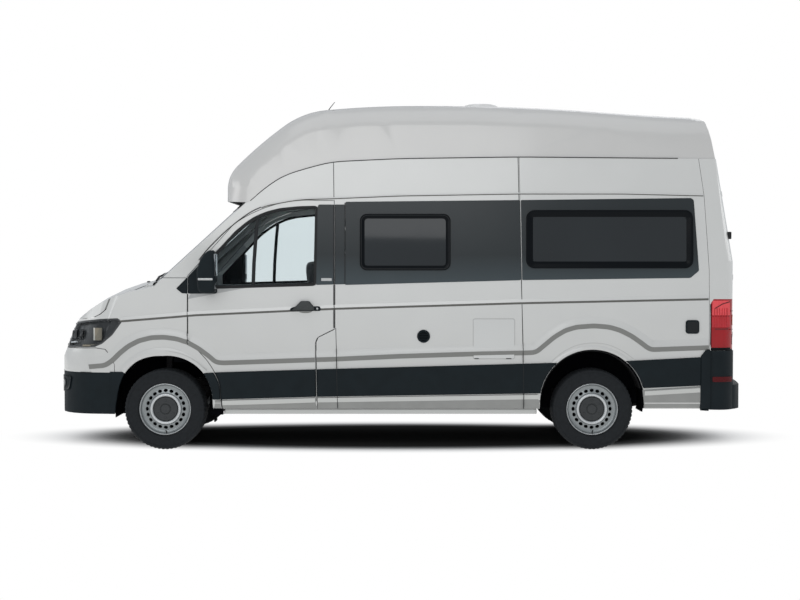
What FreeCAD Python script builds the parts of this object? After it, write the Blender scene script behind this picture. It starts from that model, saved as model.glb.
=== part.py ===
"""Camper van: a high-roof panel van with a moulded roof cap, as a FreeCAD document.

Frame: millimetres, +X to the rear, +Y to the vehicle's right, +Z up.
The origin lies on the ground, half-way along the vehicle, on its middle plane.
The skin of the body is one closed form, the hull, worked out at any inset.
Panels are regions of the wall between two insets, cut where real panels meet.
"""
import FreeCAD, Part
import math
import os
import Sketcher
from FreeCAD import Placement, Rotation, Vector

doc = FreeCAD.newDocument("camper_van")
sheet = doc.addObject("Spreadsheet::Sheet", "driving_dimensions")

# alias, value in mm (degrees for angles), what it is
DRIVING = [
    ("front_axle_x", -2002, "front wheel centre"),
    ("wheelbase", 3640, "between the axles"),
    ("wheel_radius", 344, "tyre, loaded"),
    ("tyre_width", 235, "tyre section"),
    ("flange_radius", 220.5, "rim edge"),
    ("rim_half_width", 88, "rim, outside its flanges"),
    ("half_track", 880, "wheel middle to the middle plane"),
    ("hub_offset", 24, "wheel middle to the hub's face"),
    ("kingpin_y", 718, "steering axis to the middle plane"),
    ("front_x", -2993, "foremost point of the bumper"),
    ("half_width", 1020, "widest point of the body side"),
    ("wall", 60, "body side and door, skin to lining"),
    ("sheet_wall", 24, "bonnet, wings and bumper"),
    ("gap", 5, "between panels"),
    ("sill_z", 349, "lower edge of doors and sides"),
    ("floor_z", 520, "underside of the floor"),
    ("floor_depth", 40, "floor plate"),
    ("roof_edge_z", 2490, "top of the steel side"),
    ("door_front_x", -1802, "front edge of the cab door"),
    ("door_rear_x", -560, "rear edge of the cab door"),
    ("seam_x", 1030, "joint between the side's two panels"),
    ("glass", 5, "thickness of the panes"),
    ("engine_x", -2600, "front of the engine block"),
    ("engine_length", 490, "engine block"),
    ("engine_width", 760, "engine block"),
    ("engine_z", 505, "underside of the engine block"),
    ("engine_height", 625, "engine block"),
    ("stub_radius", 62, "stub axle and wheel hub"),
    ("brake_radius", 150, "brake disc and drum"),
    ("hub_play", 0.7, "between a hub's end and the wheel's face"),
    ("rear_tube_radius", 38, "rear axle tube"),
    ("seat_y", 430, "middle of a cab seat"),
    ("seat_width", 500, "cushion"),
    ("kitchen_length", 1200, "low unit behind the cab"),
    ("unit_inner_y", 420, "unit's face beside the aisle"),
    ("unit_outer_y", 940, "unit's face beside the wall"),
    ("bed_x", 1150, "front edge of the bed base"),
    ("bed_length", 1490, "bed base"),
]

for row, (alias, value, meaning) in enumerate(DRIVING, start=1):
    sheet.set(f"A{row}", meaning)
    sheet.set(f"B{row}", str(value))
    sheet.setAlias(f"B{row}", alias)
doc.recompute()


def size(alias):
    """A driving dimension as a number."""
    return float(sheet.get(alias))


class Dim:
    """A number together with the expression over the sheet that gives it."""

    def __init__(self, value, text):
        self.value = value
        self.text = text

    def __add__(self, other):
        other = as_dim(other)
        return Dim(self.value + other.value, f"({self.text} + {other.text})")

    def __sub__(self, other):
        other = as_dim(other)
        return Dim(self.value - other.value, f"({self.text} - {other.text})")

    def __mul__(self, factor):
        return Dim(self.value * factor, f"({self.text} * ({factor}))")

    def __neg__(self):
        return self * -1


def as_dim(number):
    """A number or Dim as a Dim."""
    return number if isinstance(number, Dim) else Dim(number, f"({number})")


def dim(alias):
    """A driving dimension that stays bound to its cell."""
    return Dim(size(alias), "driving_dimensions." + alias)


FRONT_AXLE = size("front_axle_x")
REAR_AXLE = FRONT_AXLE + size("wheelbase")
WHEEL_Z = size("wheel_radius")
GAP = size("gap")
WALL = size("wall")
THIN = size("sheet_wall")
FAR = 4000.0

# ---------------------------------------------------------------- outlines

PLANES = {
    "xz": lambda u, v: Vector(u, 0, v),
    "yz": lambda u, v: Vector(0, u, v),
    "xy": lambda u, v: Vector(u, v, 0),
}


def bend_point(start, heading, end):
    """Middle point of the arc that leaves start along heading and reaches end."""
    chord = (end[0] - start[0], end[1] - start[1])
    chord_angle = math.atan2(chord[1], chord[0])
    turn = chord_angle - heading
    turn = math.atan2(math.sin(turn), math.cos(turn))
    half = math.hypot(*chord) / 2
    rise = -half * math.tan(turn / 2)
    middle = ((start[0] + end[0]) / 2, (start[1] + end[1]) / 2)
    side = (-math.sin(chord_angle), math.cos(chord_angle))
    point = (middle[0] + side[0] * rise, middle[1] + side[1] * rise)
    return point, chord_angle + turn


def edges(steps, plane):
    """Edges along steps: (u, v) is a line to there, (a, b, u, v) an arc through a, b.

    ("bend", u, v) is an arc to there that leaves the step before it smoothly.
    """
    place = PLANES[plane]
    here = steps[0]
    heading = 0.0
    made = []
    for step in steps[1:]:
        end = step[-2:]
        if len(step) == 2:
            heading = math.atan2(end[1] - here[1], end[0] - here[0])
            made.append(Part.makeLine(place(*here), place(*end)))
        else:
            if step[0] == "bend":
                middle, heading = bend_point(here, heading, end)
            else:
                middle = step[:2]
            made.append(Part.Arc(place(*here), place(*middle), place(*end)).toShape())
        here = end
    if math.dist(here, steps[0]) > 1e-6:
        made.append(Part.makeLine(place(*here), place(*steps[0])))
    return made


def face(steps, plane, inset=0.0):
    """Closed flat face; an inset moves its outline inwards."""
    wire = Part.Wire(edges(steps, plane))
    if inset:
        wire = wire.makeOffset2D(-inset)
    return Part.Face(wire)


def prism(steps, plane, low, high, inset=0.0):
    """The outline pushed from low to high along the plane's third axis."""
    along = {"xz": Vector(0, 1, 0), "yz": Vector(1, 0, 0), "xy": Vector(0, 0, 1)}[plane]
    flat = face(steps, plane, inset)
    flat.translate(along * low)
    return flat.extrude(along * (high - low))


def block(x0, x1, y0, y1, z0, z1):
    """Box between two corners."""
    return Part.makeBox(x1 - x0, y1 - y0, z1 - z0, Vector(x0, y0, z0))


def rounded(u0, u1, v0, v1, radius):
    """Steps of a rectangle with round corners."""
    k = radius * (1 - math.sqrt(0.5))
    return [
        (u0 + radius, v0), (u1 - radius, v0), (u1 - k, v0 + k, u1, v0 + radius),
        (u1, v1 - radius), (u1 - k, v1 - k, u1 - radius, v1),
        (u0 + radius, v1), (u0 + k, v1 - k, u0, v1 - radius),
        (u0, v0 + radius), (u0 + k, v0 + k, u0 + radius, v0),
    ]


def chords(start, middle, end, count):
    """Points that split the arc through three points into equal chords, its start left out."""
    curve = Part.Arc(*(Vector(u, v, 0) for u, v in (start, middle, end)))
    points = curve.discretize(count + 1)[1:]
    return [(point.x, point.y) for point in points]


def mirrored(shape):
    """The same piece on the other side of the middle plane."""
    return shape.mirror(Vector(0, 0, 0), Vector(0, 1, 0))


# ---------------------------------------------------------------- the hull

# half section of the body, from the sill up: half width, height (arcs give a mid point)
SIDE_SECTION = [
    (948, 200), (972, 335), (1006, 400), (1012, 520),
    (1020, 1000, 1012, 1400), (996, 1960, 964, 2490), (950, 2800),
]
NOSE_LEAN = 0.40
NOSE_LEAN_Z = 780
TAIL_LEAN = 0.170
TAIL_LEAN_Z = 1600
GLASS_BASE = (-2160, 1446)
GLASS_TOP = (-1450, 2092)
GLASS_BOW = 105
GLASS_HALF = 880


def full_section():
    """Closed cross-section outline, right side up then left side down."""
    left = [(-y, z) for y, z in [step[-2:] for step in SIDE_SECTION]]
    steps = list(SIDE_SECTION)
    steps.append(left[-1])
    for index in range(len(SIDE_SECTION) - 1, 0, -1):
        step = SIDE_SECTION[index]
        end = left[index - 1]
        if len(step) == 4:
            steps.append((-step[0], step[1]) + end)
        else:
            steps.append(end)
    return steps


NOSE_CHORDS = 5


def nose_steps():
    """Plan of the nose from its left corner to its right one."""
    front = size("front_x")
    brow = (front + 45, 600)
    corner = chords(brow, (front + 150, 811), (front + 358, 924), NOSE_CHORDS)
    right = [brow] + corner
    left = [(x, -y) for x, y in reversed(right)]
    return left + [(front, 0) + brow] + corner


def plan_steps():
    """Closed plan outline: bowed nose, wide middle, bowed tail with round corners."""
    wide = size("half_width")
    clear = wide + 40
    tail = 2900
    return nose_steps() + [
        (-1500, clear), (2500, clear), (2640, wide - 2),
        (2790, 1000, 2845, 900), (tail, 0, 2845, -900), (2790, -1000, 2640, 2 - wide),
        (2500, -clear), (-1500, -clear),
    ]


def leaned(steps, base_z, lean, inset):
    """Plan outline pushed up and down along a direction that leans with height."""
    flat = face(steps, "xy", inset)
    low = 100 - base_z
    flat.translate(Vector(lean * low, 0, 100))
    return flat.extrude(Vector(lean * 3200, 0, 3200))


def glass_steps(shift=0.0):
    """Plan of all that lies behind the windscreen's outer face, at its base."""
    x = GLASS_BASE[0] + shift
    wide = 1300
    bow = GLASS_BOW * (wide / GLASS_HALF) ** 2
    return [(x + bow, -wide), (x, 0, x + bow, wide), (FAR, wide), (FAR, -wide)]


BONNET_CHORDS = 6


def bonnet_form(inset):
    """Crowned volume under the bonnet: its side profile turned about a low axis."""
    axis_z = -5200
    crown = chords((-2869, 1062), (-2580, 1300), (-2187, 1441), BONNET_CHORDS)
    profile = [(-3100, axis_z), (-3100, 900), (-2935, 1000), (-2869, 1062)]
    profile += crown + [(-1950, 1490), (-1950, axis_z)]
    flat = face(profile, "xz", inset)
    flat.rotate(Vector(0, 0, axis_z), Vector(1, 0, 0), -60)
    return flat.revolve(Vector(0, 0, axis_z), Vector(1, 0, 0), 120)


def screen_volume(inset):
    """All that lies behind the windscreen's outer face, inset square to it."""
    rise = GLASS_TOP[1] - GLASS_BASE[1]
    run = (GLASS_TOP[0] - GLASS_BASE[0]) / rise
    return leaned(glass_steps(inset * math.hypot(1.0, run)), GLASS_BASE[1], run, 0.0)


def hull(inset=0.0):
    """The closed body below the roof cap, inset from its outer skin."""
    section = face(full_section(), "yz", inset)
    section.translate(Vector(-3200, 0, 0))
    body = section.extrude(Vector(6400, 0, 0))
    body = body.common(leaned(plan_steps(), 0, 0.0, inset))
    body = body.common(leaned(tail_steps(), TAIL_LEAN_Z, -TAIL_LEAN, inset))
    body = body.common(leaned(nose_steps() + NOSE_BEHIND, NOSE_LEAN_Z, NOSE_LEAN, inset))
    return body.common(screen_volume(inset).fuse(bonnet_form(inset)))


def tail_steps():
    """Plan of all that lies ahead of the tail, whose other sides are far away."""
    return [
        (-6000, -1300), (-6000, 1300), (2640, 1300), (2640, 1020),
        (2790, 1000, 2845, 900), (2900, 0, 2845, -900), (2790, -1000, 2640, -1020),
        (2640, -1300),
    ]


# plan corners that close the nose's outline, well behind it
NOSE_BEHIND = [(-2293, 1300), (6000, 1300), (6000, -1300), (-2293, -1300)]

# ---------------------------------------------------------------- body panels

# lower edge of the roof cap, from its nose to the rear
CAP_EDGE = [
    (-1520, 2120), (-1292, 2104), (-1139, 2232), (-978, 2338), (-705, 2418), (-557, 2450),
    (0, 2476), (1003, 2490), (2300, 2478), (3100, 2470),
]

SKIN = hull(0.0)
THIN_CORE = hull(THIN)
WALL_CORE = hull(WALL)
THIN_SHELL = SKIN.cut(THIN_CORE)
WALL_SHELL = SKIN.cut(WALL_CORE)

SILL = size("sill_z")
EDGE = size("roof_edge_z")
OUT = 1200.0
cap_space = prism(CAP_EDGE + [(3100, 3300), (-1800, 3300), (-1800, 2120)], "xz", -OUT, OUT)
DOOR_FRONT = size("door_front_x")
DOOR_REAR = size("door_rear_x")


def door_steps(grow):
    """Cab door seen from the side; grow widens it for the opening around it."""
    front = DOOR_FRONT - grow
    rear = DOOR_REAR + grow
    low = SILL - grow
    return [
        (front, 1478), (front, 935), (-1640 - grow, 765, -1521 - grow, 553),
        (-1513 - grow, low), (-705 + grow, low), (-714 + grow, 918), (-697 + grow, 961 - 0.7 * grow),
        (rear, 1030 - 0.9 * grow), (rear, 2118 + grow), (-700, 2118 + grow),
        (-1090 - 0.4 * grow, 2074 + grow, -1410 - 0.7 * grow, 1915 + 0.7 * grow),
    ]


def glass_hole_steps():
    """Glass of the cab door, from the mirror's corner to the rear post."""
    return [
        (-1752, 1372), (-715, 1402), (-700, 2070), (-860, 2066),
        (-1020, 2050), (-1200, 2000, -1385, 1866), (-1752, 1470),
    ]


def rear_seam_steps(shift):
    """Region ahead of the seam between the side panel and the rear corner."""
    return [
        (-1500, 0), (2622 + shift, 0), (2622 + shift, 1290), (2620 + shift, 1530),
        (2578 + shift, 2160), (2526 + shift, 2530), (2526 + shift, 2900), (-1500, 2900),
    ]


def arch(x, z, radius, y0, y1):
    """Round wheel opening, open downwards."""
    steps = [(x - radius, -50), (x - radius, z), (x, z + radius, x + radius, z), (x + radius, -50)]
    return prism(steps, "xz", y0, y1)


FRONT_ARCH = {"x": -2022, "z": 408, "radius": 430}
REAR_ARCH = {"x": 1634, "z": 412, "radius": 445}

# name: x0, x1, z0, z1 of each window of the living space, and its corner radius
LIVING_WINDOWS = {
    "mid": (-340, 428, 1528, 2006, 60),
    "rear": (1069, 2485, 1545, 2038, 70),
}
SLIDING_WINDOW = (-420, 560, 1470, 2050, 70)
SLIDING_DOOR = (-550, 700, 420, 2200)

panels = {}


def window_hole(spec, grow=0.0):
    """Opening through the left wall for a window."""
    x0, x1, z0, z1, radius = spec
    steps = rounded(x0 - grow, x1 + grow, z0 - grow, z1 + grow, radius)
    return prism(steps, "xz", -OUT, -700)


def side_layer(outside, inside):
    """Layer of the straight left body side between two insets."""
    section = face(full_section(), "yz", outside).cut(face(full_section(), "yz", inside))
    section.translate(Vector(-3200, 0, 0))
    return section.extrude(Vector(6400, 0, 0)).common(block(-3200, 3200, -OUT, 0, 600, 2600))


def pane_layer(steps, outside, inside):
    """A pane cut out of the left skin between two insets."""
    return side_layer(outside, inside).common(prism(steps, "xz", -OUT, -700))


door_region = prism(door_steps(0), "xz", -OUT, -500)
door_opening = prism(door_steps(GAP), "xz", -OUT, -500)
door_glass_hole = prism(glass_hole_steps(), "xz", -OUT, -500)

panels["door_left"] = WALL_SHELL.common(door_region).cut(door_glass_hole)

# side panel: all behind the cab door up to the rear seam
side = WALL_SHELL.common(block(DOOR_REAR - 160, 3000, -OUT, -500, SILL, EDGE))
side = side.common(prism(rear_seam_steps(0), "xz", -OUT, -500))
side = side.cut(door_opening).cut(cap_space)
side = side.cut(block(-2000, DOOR_REAR, -OUT, -500, 2000, 2900))
side = side.cut(arch(REAR_ARCH["x"], REAR_ARCH["z"], REAR_ARCH["radius"], -OUT, -500))
side_left = side
side_right = mirrored(side)
for spec in LIVING_WINDOWS.values():
    side_left = side_left.cut(window_hole(spec))
side_right = side_right.cut(mirrored(window_hole(LIVING_WINDOWS["rear"])))
x0, x1, z0, z1 = SLIDING_DOOR
slide_steps = rounded(x0 - GAP, x1 + GAP, z0 - GAP, z1 + GAP, 60)
side_right = side_right.cut(prism(slide_steps, "xz", 500, OUT))
seam_x = size("seam_x")
seam = prism([(seam_x + 20, 300), (seam_x + 25, 300), (seam_x - 19, 2600), (seam_x - 24, 2600)],
             "xz", -OUT, -500).cut(hull(8))
side_left = side_left.cut(seam)
side_right = side_right.cut(mirrored(seam))
panels["side_left"] = side_left
panels["side_right"] = side_right
slide = WALL_SHELL.common(prism(rounded(x0, x1, z0, z1, 60), "xz", 500, OUT))
slide = slide.cut(mirrored(window_hole(SLIDING_WINDOW)))
panels["sliding_door"] = slide

# rear corners, header and sill around the rear doors
REAR_DOOR = {"half": 905, "low": 560, "high": 2330}
rear = WALL_SHELL.common(block(1500, 3100, -OUT, OUT, 420, EDGE))
rear = rear.cut(prism(rear_seam_steps(GAP - 2), "xz", -OUT, OUT))
rear = rear.cut(cap_space)
rear_half = REAR_DOOR["half"] + GAP
rear = rear.cut(block(2620, 3100, -rear_half, rear_half, REAR_DOOR["low"] - GAP, REAR_DOOR["high"] + GAP))
LAMP_STEPS = [(2650, 859), (2900, 859), (2900, 1284), (2660, 1284), (2636, 1250), (2630, 900)]
lamp_cut = prism(LAMP_STEPS, "xz", -OUT, -915)
lamp = WALL_SHELL.common(lamp_cut)
rear = rear.cut(lamp_cut).cut(mirrored(lamp_cut))
panels["rear_frame"] = rear
panels["tail_lamp_left"] = lamp
panels["tail_lamp_right"] = mirrored(lamp)

REAR_WINDOW = (-800, -150, 1500, 2030, 60)
# the leaf's free edge draws back inwards, to turn past its neighbour
LEAF_EDGE = [(3100, -GAP / 2), (2840, -GAP / 2), (2776, -6), (2700, -14), (2620, -26)]
leaf_half = REAR_DOOR["half"]
leaf_box = prism(LEAF_EDGE + [(2620, -leaf_half), (3100, -leaf_half)], "xy",
                 REAR_DOOR["low"], REAR_DOOR["high"])
leaf = WALL_SHELL.common(leaf_box)
y0, y1, z0, z1, radius = REAR_WINDOW
window_cut = prism(rounded(y0, y1, z0, z1, radius), "yz", 2500, 3100)
panels["rear_door_left"] = leaf.cut(window_cut)
tail_out = leaned(tail_steps(), TAIL_LEAN_Z, -TAIL_LEAN, 12)
tail_low = leaned(plan_steps(), 0, 0.0, 12)
tail_out = tail_out.common(tail_low)
tail_in = tail_out.copy()
tail_in.translate(Vector(-size("glass"), 0, 0))
pane = tail_out.cut(tail_in).common(
    prism(rounded(y0, y1, z0, z1, radius), "yz", 2620, 3100))
panels["rear_glass_left"] = pane

# panes of the cab doors and of the sliding door
door_pane = pane_layer(glass_hole_steps(), 12, 12 + size("glass"))
panels["door_glass_left"] = door_pane
slide_pane = pane_layer(rounded(*SLIDING_WINDOW), 12, 12 + size("glass"))
panels["sliding_glass"] = mirrored(slide_pane)


def framed_window(spec):
    """Framed acrylic window: a frame standing proud of the skin, and its pane."""
    x0, x1, z0, z1, radius = spec
    rim = 24
    outline = prism(rounded(x0, x1, z0, z1, radius), "xz", -OUT, -700)
    inner = prism(rounded(x0 + rim, x1 - rim, z0 + rim, z1 - rim, radius - rim), "xz", -OUT, -700)
    layer = side_layer(-12, 30)
    pane = side_layer(2, 20)
    return layer.common(outline.cut(inner)).fuse(pane.common(inner))


windows = {name: framed_window(spec) for name, spec in LIVING_WINDOWS.items()}
panels["windows_left"] = Part.makeCompound(list(windows.values()))
panels["window_right"] = mirrored(windows["rear"])

for name in ("door_left", "door_glass_left", "rear_door_left", "rear_glass_left"):
    panels[name.replace("left", "right")] = mirrored(panels[name])

# ---------------------------------------------------------------- nose

# side view of the line between bumper and wing, and of the lamp
LAMP_OUTLINE = [
    (-2915, 858), (-2610, 872), (-2545, 900), (-2455, 975), (-2368, 1092), (-2410, 1120),
    (-2560, 1112), (-2690, 1098), (-2915, 1060),
]
BONNET_REAR = -2200
BONNET_EDGE = [
    (-3100, 1072), (-2905, 1072), (-2720, 1112), (-2640, 1122), (-2567, 1156), (-2395, 1300),
    (BONNET_REAR, 1398), (BONNET_REAR, 1600), (-3100, 1600),
]
BUMPER_TOP = [
    (-3100, 848), (-2600, 862), (-2520, 850), (-2470, 790), (-2440, 720),
]
nose = THIN_SHELL.common(block(-3100, DOOR_FRONT - GAP + 400, -OUT, OUT, 300, 1462))
head_region = prism(LAMP_OUTLINE, "xz", -OUT, -560)
lamp_rim = 16
lamp_depth = 44
lamp_pocket = prism(LAMP_OUTLINE, "xz", -OUT, -560 - lamp_rim, lamp_rim).cut(hull(lamp_depth))
lamp_body = WALL_SHELL.common(head_region).cut(lamp_pocket)
# two projectors stand in the pocket: place along X, Y, Z and radius
for x, y, z, radius in ((-2870, -660, 965, 36), (-2830, -770, 975, 40)):
    barrel = Part.makeCylinder(radius, 90, Vector(x, y, z), Vector(1, 0, 0))
    lamp_body = lamp_body.fuse(barrel.common(SKIN).common(head_region))
panels["headlamp_left"] = lamp_body
panels["headlamp_right"] = mirrored(lamp_body)

lid_region = prism(BONNET_EDGE, "xz", -905, 905)
panels["bonnet"] = nose.common(lid_region)

lid_gap = prism([
    (-3100, 1067), (-2905, 1067), (-2720, 1107), (-2639, 1117), (-2562, 1151), (-2391, 1294),
    (-2195, 1392), (-2195, 1600), (-3100, 1600)], "xz", -910, 910)

bumper_region = prism(BUMPER_TOP + [(-2440, 300), (-3100, 300)], "xz", -OUT, OUT)
grille_region = block(-3100, -2600, -557, 557, 858, 1064)
bumper = nose.common(bumper_region).cut(grille_region)
wheel_cut = arch(FRONT_ARCH["x"], FRONT_ARCH["z"], FRONT_ARCH["radius"], -OUT, -500)
bumper = bumper.cut(wheel_cut).cut(mirrored(wheel_cut))
skirt_region = block(-3200, -2400, -OUT, OUT, 300, 655)
panels["bumper_front"] = bumper.common(block(-3200, -2400, -OUT, OUT, 655, 900))
# lower air intake, one slot over the other
skirt = bumper.common(skirt_region)
for z0 in (440, 520):
    skirt = skirt.cut(block(-3200, -2700, -430, 430, z0, z0 + 60))
panels["bumper_skirt"] = skirt

# grille: slots in rows and columns between its bars
GRILLE = {"rows": 4, "row_pitch": 46, "slot": 30, "first_z": 884, "columns": 3,
          "column_pitch": 348, "column": 328}
grille = nose.common(grille_region)
for row in range(GRILLE["rows"]):
    z0 = GRILLE["first_z"] + row * GRILLE["row_pitch"]
    for column in range(GRILLE["columns"]):
        middle = (column - 1) * GRILLE["column_pitch"]
        half = GRILLE["column"] / 2
        grille = grille.cut(block(-3200, -2600, middle - half, middle + half, z0, z0 + GRILLE["slot"]))
panels["grille"] = grille

WING_REAR = [
    (-3100, 1600), (-3100, 853), (-2600, 867), (-2516, 855), (-2466, 795), (-2436, 720), (-2436, 300),
    (-1500, 300), (-1518 - GAP, 349), (-1526, 553), (-1645, 770, -1807, 935), (-1807, 1462),
    (-1990, 1462), (-2100, 1600),
]
wing = nose.common(prism(WING_REAR, "xz", -OUT, -560))
wing = wing.cut(block(-2195, -1400, -905, 0, 300, 1600))
wing = wing.cut(lid_gap).cut(wheel_cut).cut(head_region).cut(grille_region)
wing = max(wing.Solids, key=lambda solid: solid.Volume)
panels["wing_left"] = wing
panels["wing_right"] = mirrored(wing)

# windscreen: the pane, and the frame around it
SCREEN_HALF = 905
screen_region = block(-2300, -1300, -SCREEN_HALF, SCREEN_HALF, 1452, 2098)
panels["windscreen"] = screen_volume(4).cut(screen_volume(10)).common(screen_region)

# ---------------------------------------------------------------- cab frame and floor

CORE_CLEAR = hull(WALL + 6)
POST_SHELL = THIN_CORE.cut(WALL_CORE)

cab = WALL_SHELL.common(block(-2120, DOOR_REAR, -OUT, OUT, 1467, 2600))
screen_hole = prism(rounded(-880, 880, 1400, 2084, 60), "yz", -2400, -1250)
screen_front = screen_volume(0).cut(screen_volume(75))
cab = cab.cut(screen_hole.common(screen_front)).cut(cap_space)
cab = cab.cut(door_opening).cut(mirrored(door_opening))
cab = cab.cut(screen_region.common(screen_volume(0).cut(screen_volume(10.0))))
post = POST_SHELL.common(block(-1905, DOOR_FRONT - GAP - 5, -OUT, -500, 770, 1500))
cab = cab.fuse([post, mirrored(post)])
firewall = CORE_CLEAR.common(block(-1930, -1905, -OUT, OUT, 745, 1400))
firewall = firewall.fuse(THIN_CORE.common(block(-1930, -1905, -OUT, OUT, 800, 1400)))
shelf = CORE_CLEAR.common(block(-1930, -1480, -OUT, OUT, 745, 765))
toe = CORE_CLEAR.common(block(-1500, -1480, -OUT, OUT, size("floor_z"), 765))
cowl = THIN_SHELL.common(block(-2195, -2000, -900, 900, 1350, 1452))
cowl_shelf = block(-2185, -1905, -860, 860, 1375, 1400)
cab = cab.fuse([firewall, shelf, toe, cowl, cowl_shelf])
panels["cab_frame"] = cab

floor_top = size("floor_z") + size("floor_depth")
floor = WALL_CORE.common(block(-1480, 2790, -OUT, OUT, size("floor_z"), floor_top))
door_zone = block(-1600, DOOR_REAR + 5, -OUT, OUT, 300, 700)
floor = floor.cut(door_zone).fuse(CORE_CLEAR.common(door_zone).common(
    block(-1480, 2790, -OUT, OUT, size("floor_z"), floor_top)))
x0, x1 = SLIDING_DOOR[:2]
floor = floor.cut(block(x0 - 10, x1 + 10, 900, OUT, 300, 700).cut(CORE_CLEAR))
tub_outer = arch(REAR_ARCH["x"], REAR_ARCH["z"], REAR_ARCH["radius"] - 2, -955, -690)
tub_inner = arch(REAR_ARCH["x"], REAR_ARCH["z"], REAR_ARCH["radius"] - 20, -1100, -708)
wheel_space = tub_inner.fuse(mirrored(tub_inner))
tubs = tub_outer.fuse(mirrored(tub_outer)).common(WALL_CORE).cut(
    block(0, 3000, -OUT, OUT, -100, size("floor_z")))
floor = floor.fuse(tubs).cut(wheel_space)
rail_y = 470
rails = [block(-1480, 2790, y - 45, y + 45, 400, size("floor_z")) for y in (-rail_y, rail_y)]
floor = floor.fuse(rails)
# sills: box sections under the sides, behind the cab step
sill = block(-1498, 1165, -965, -880, 306, 344)
sill_web = block(-1475, 1165, -905, -880, 344, size("floor_z"))
floor = floor.fuse([sill, sill_web, mirrored(sill), mirrored(sill_web)])
# tow bar holes up into the rear ends of the rails
TOW_HOLES = {"x": (2450, 2650), "y": (-rail_y, rail_y), "radius": 7, "depth": 100}
for x in TOW_HOLES["x"]:
    for y in TOW_HOLES["y"]:
        floor = floor.cut(Part.makeCylinder(TOW_HOLES["radius"], TOW_HOLES["depth"], Vector(x, y, 400)))
panels["floor_pan"] = floor

# ---------------------------------------------------------------- roof cap

CAP_NOSE = -1485
CAP_PROFILE = [
    (CAP_NOSE, 2000), (CAP_NOSE, 2230), ("bend", -1405, 2425), ("bend", -1000, 2775),
    ("bend", -640, 2912), ("bend", 60, 2948), ("bend", 1040, 2934), ("bend", 1750, 2892),
    ("bend", 2486, 2846), (3400, 2795), (3400, 2000),
]
CAP_REAR = [
    (-2000, 2000), (-2000, 3200), (2440, 3200), (2478, 2852), (2560, 2828),
    (2604, 2812, 2622, 2762), (2776, 1960), (2776, 1900),
]
CAP_SIDES = [(-996, 2060), (996, 2060), (921, 2910), (905, 3100), (-905, 3100), (-921, 2910)]
CAP_SHELL = 30
# the long shoulders are chamfered, then each new edge again: size, half width to look beyond
SHOULDER_OUTSIDE = [(150, 850), (50, 640)]
SHOULDER_INSIDE = [(130, 820)]


def shoulder_edges(form, beyond):
    """Long edges between the top of the cap and its sides."""
    chosen = []
    for edge in form.Edges:
        halfway = (edge.FirstParameter + edge.LastParameter) / 2
        middle = edge.valueAt(halfway)
        lengthwise = abs(edge.tangentAt(halfway).y) < 0.5
        if lengthwise and abs(middle.y) > beyond and middle.z > 2100 and middle.x < 3300:
            chosen.append(edge)
    return chosen


def cap_form(inset, shoulders):
    """Solid of the roof cap with its shoulders taken off in steps."""
    form = prism(CAP_PROFILE, "xz", -1100, 1100, inset)
    form = form.common(prism(CAP_SIDES, "yz", -1700, 3300, inset))
    for width, beyond in shoulders:
        form = form.makeChamfer(width, shoulder_edges(form, beyond))
    form = form.common(prism(CAP_REAR, "xz", -1100, 1100, inset))
    return form.common(leaned(tail_steps(), TAIL_LEAN_Z, -TAIL_LEAN, inset))


cap_outside = cap_form(0, SHOULDER_OUTSIDE)
cap = cap_outside.cut(cap_form(CAP_SHELL, SHOULDER_INSIDE)).common(cap_space)
panels["roof_cap"] = cap

nodes = {}


def add_panel(name, shape):
    """A sub-part whose shape is set from the functions above."""
    item = doc.addObject("Part::Feature", name)
    item.Label = name
    item.Shape = shape
    nodes[name] = item
    return item


for name, shape in panels.items():
    add_panel(name, shape)


def bind(item, path, number):
    """Bind a property to an expression, or set it where the number is plain."""
    item.setExpression(path, as_dim(number).text)


def bound_box(name, x, y, z):
    """Box between pairs of numbers or dimensions."""
    item = doc.addObject("Part::Box", name)
    for axis, side, (low, high) in (("x", "Length", x), ("y", "Width", y), ("z", "Height", z)):
        bind(item, "Placement.Base." + axis, low)
        bind(item, side, as_dim(high) - low)
    return item


def bound_bar(name, radius, x, y, z):
    """Round bar along Y between a pair of numbers or dimensions."""
    item = doc.addObject("Part::Cylinder", name)
    item.Placement = Placement(Vector(), Rotation(Vector(0, 0, 1), Vector(0, 1, 0)))
    bind(item, "Radius", radius)
    bind(item, "Height", as_dim(y[1]) - y[0])
    for axis, number in (("x", x), ("y", y[0]), ("z", z)):
        bind(item, "Placement.Base." + axis, number)
    return item


def loose(name, shape):
    """A shape that takes part in a boolean and is no node itself."""
    item = doc.addObject("Part::Feature", name)
    item.Shape = shape
    return item


def node_of(kind, name, **values):
    """A boolean, mirror image or compound as a node."""
    item = doc.addObject(kind, name)
    item.Label = name
    for key, value in values.items():
        setattr(item, key, value)
    nodes[name] = item
    return item


def mirror_image(name, source):
    """Mirror image of a sub-part across the middle plane."""
    item = doc.addObject("Part::Mirroring", name)
    item.Source = source
    item.Normal = Vector(0, 1, 0)
    return item


def fused(name, shapes):
    """Several touching shapes as one sub-part."""
    return add_panel(name, shapes[0].fuse(shapes[1:]))


# ---------------------------------------------------------------- wheels

def origin_plane(body, role):
    """One of a body's own origin planes or axes."""
    for feature in body.Origin.OriginFeatures:
        if feature.Role == role:
            return feature
    raise ValueError(role)


def hold(sketch, index, kind, axis, number):
    """Hold the start of a line at a signed distance from the origin, bound to its dimension."""
    number = as_dim(number)
    if abs(number.value) < 1e-9:
        sketch.addConstraint(Sketcher.Constraint("PointOnObject", index, 1, axis))
        return
    place = sketch.addConstraint(Sketcher.Constraint(kind, -1, 1, index, 1, number.value))
    if "driving_dimensions" in number.text:
        sketch.setExpression(f"Constraints[{place}]", number.text)


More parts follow.
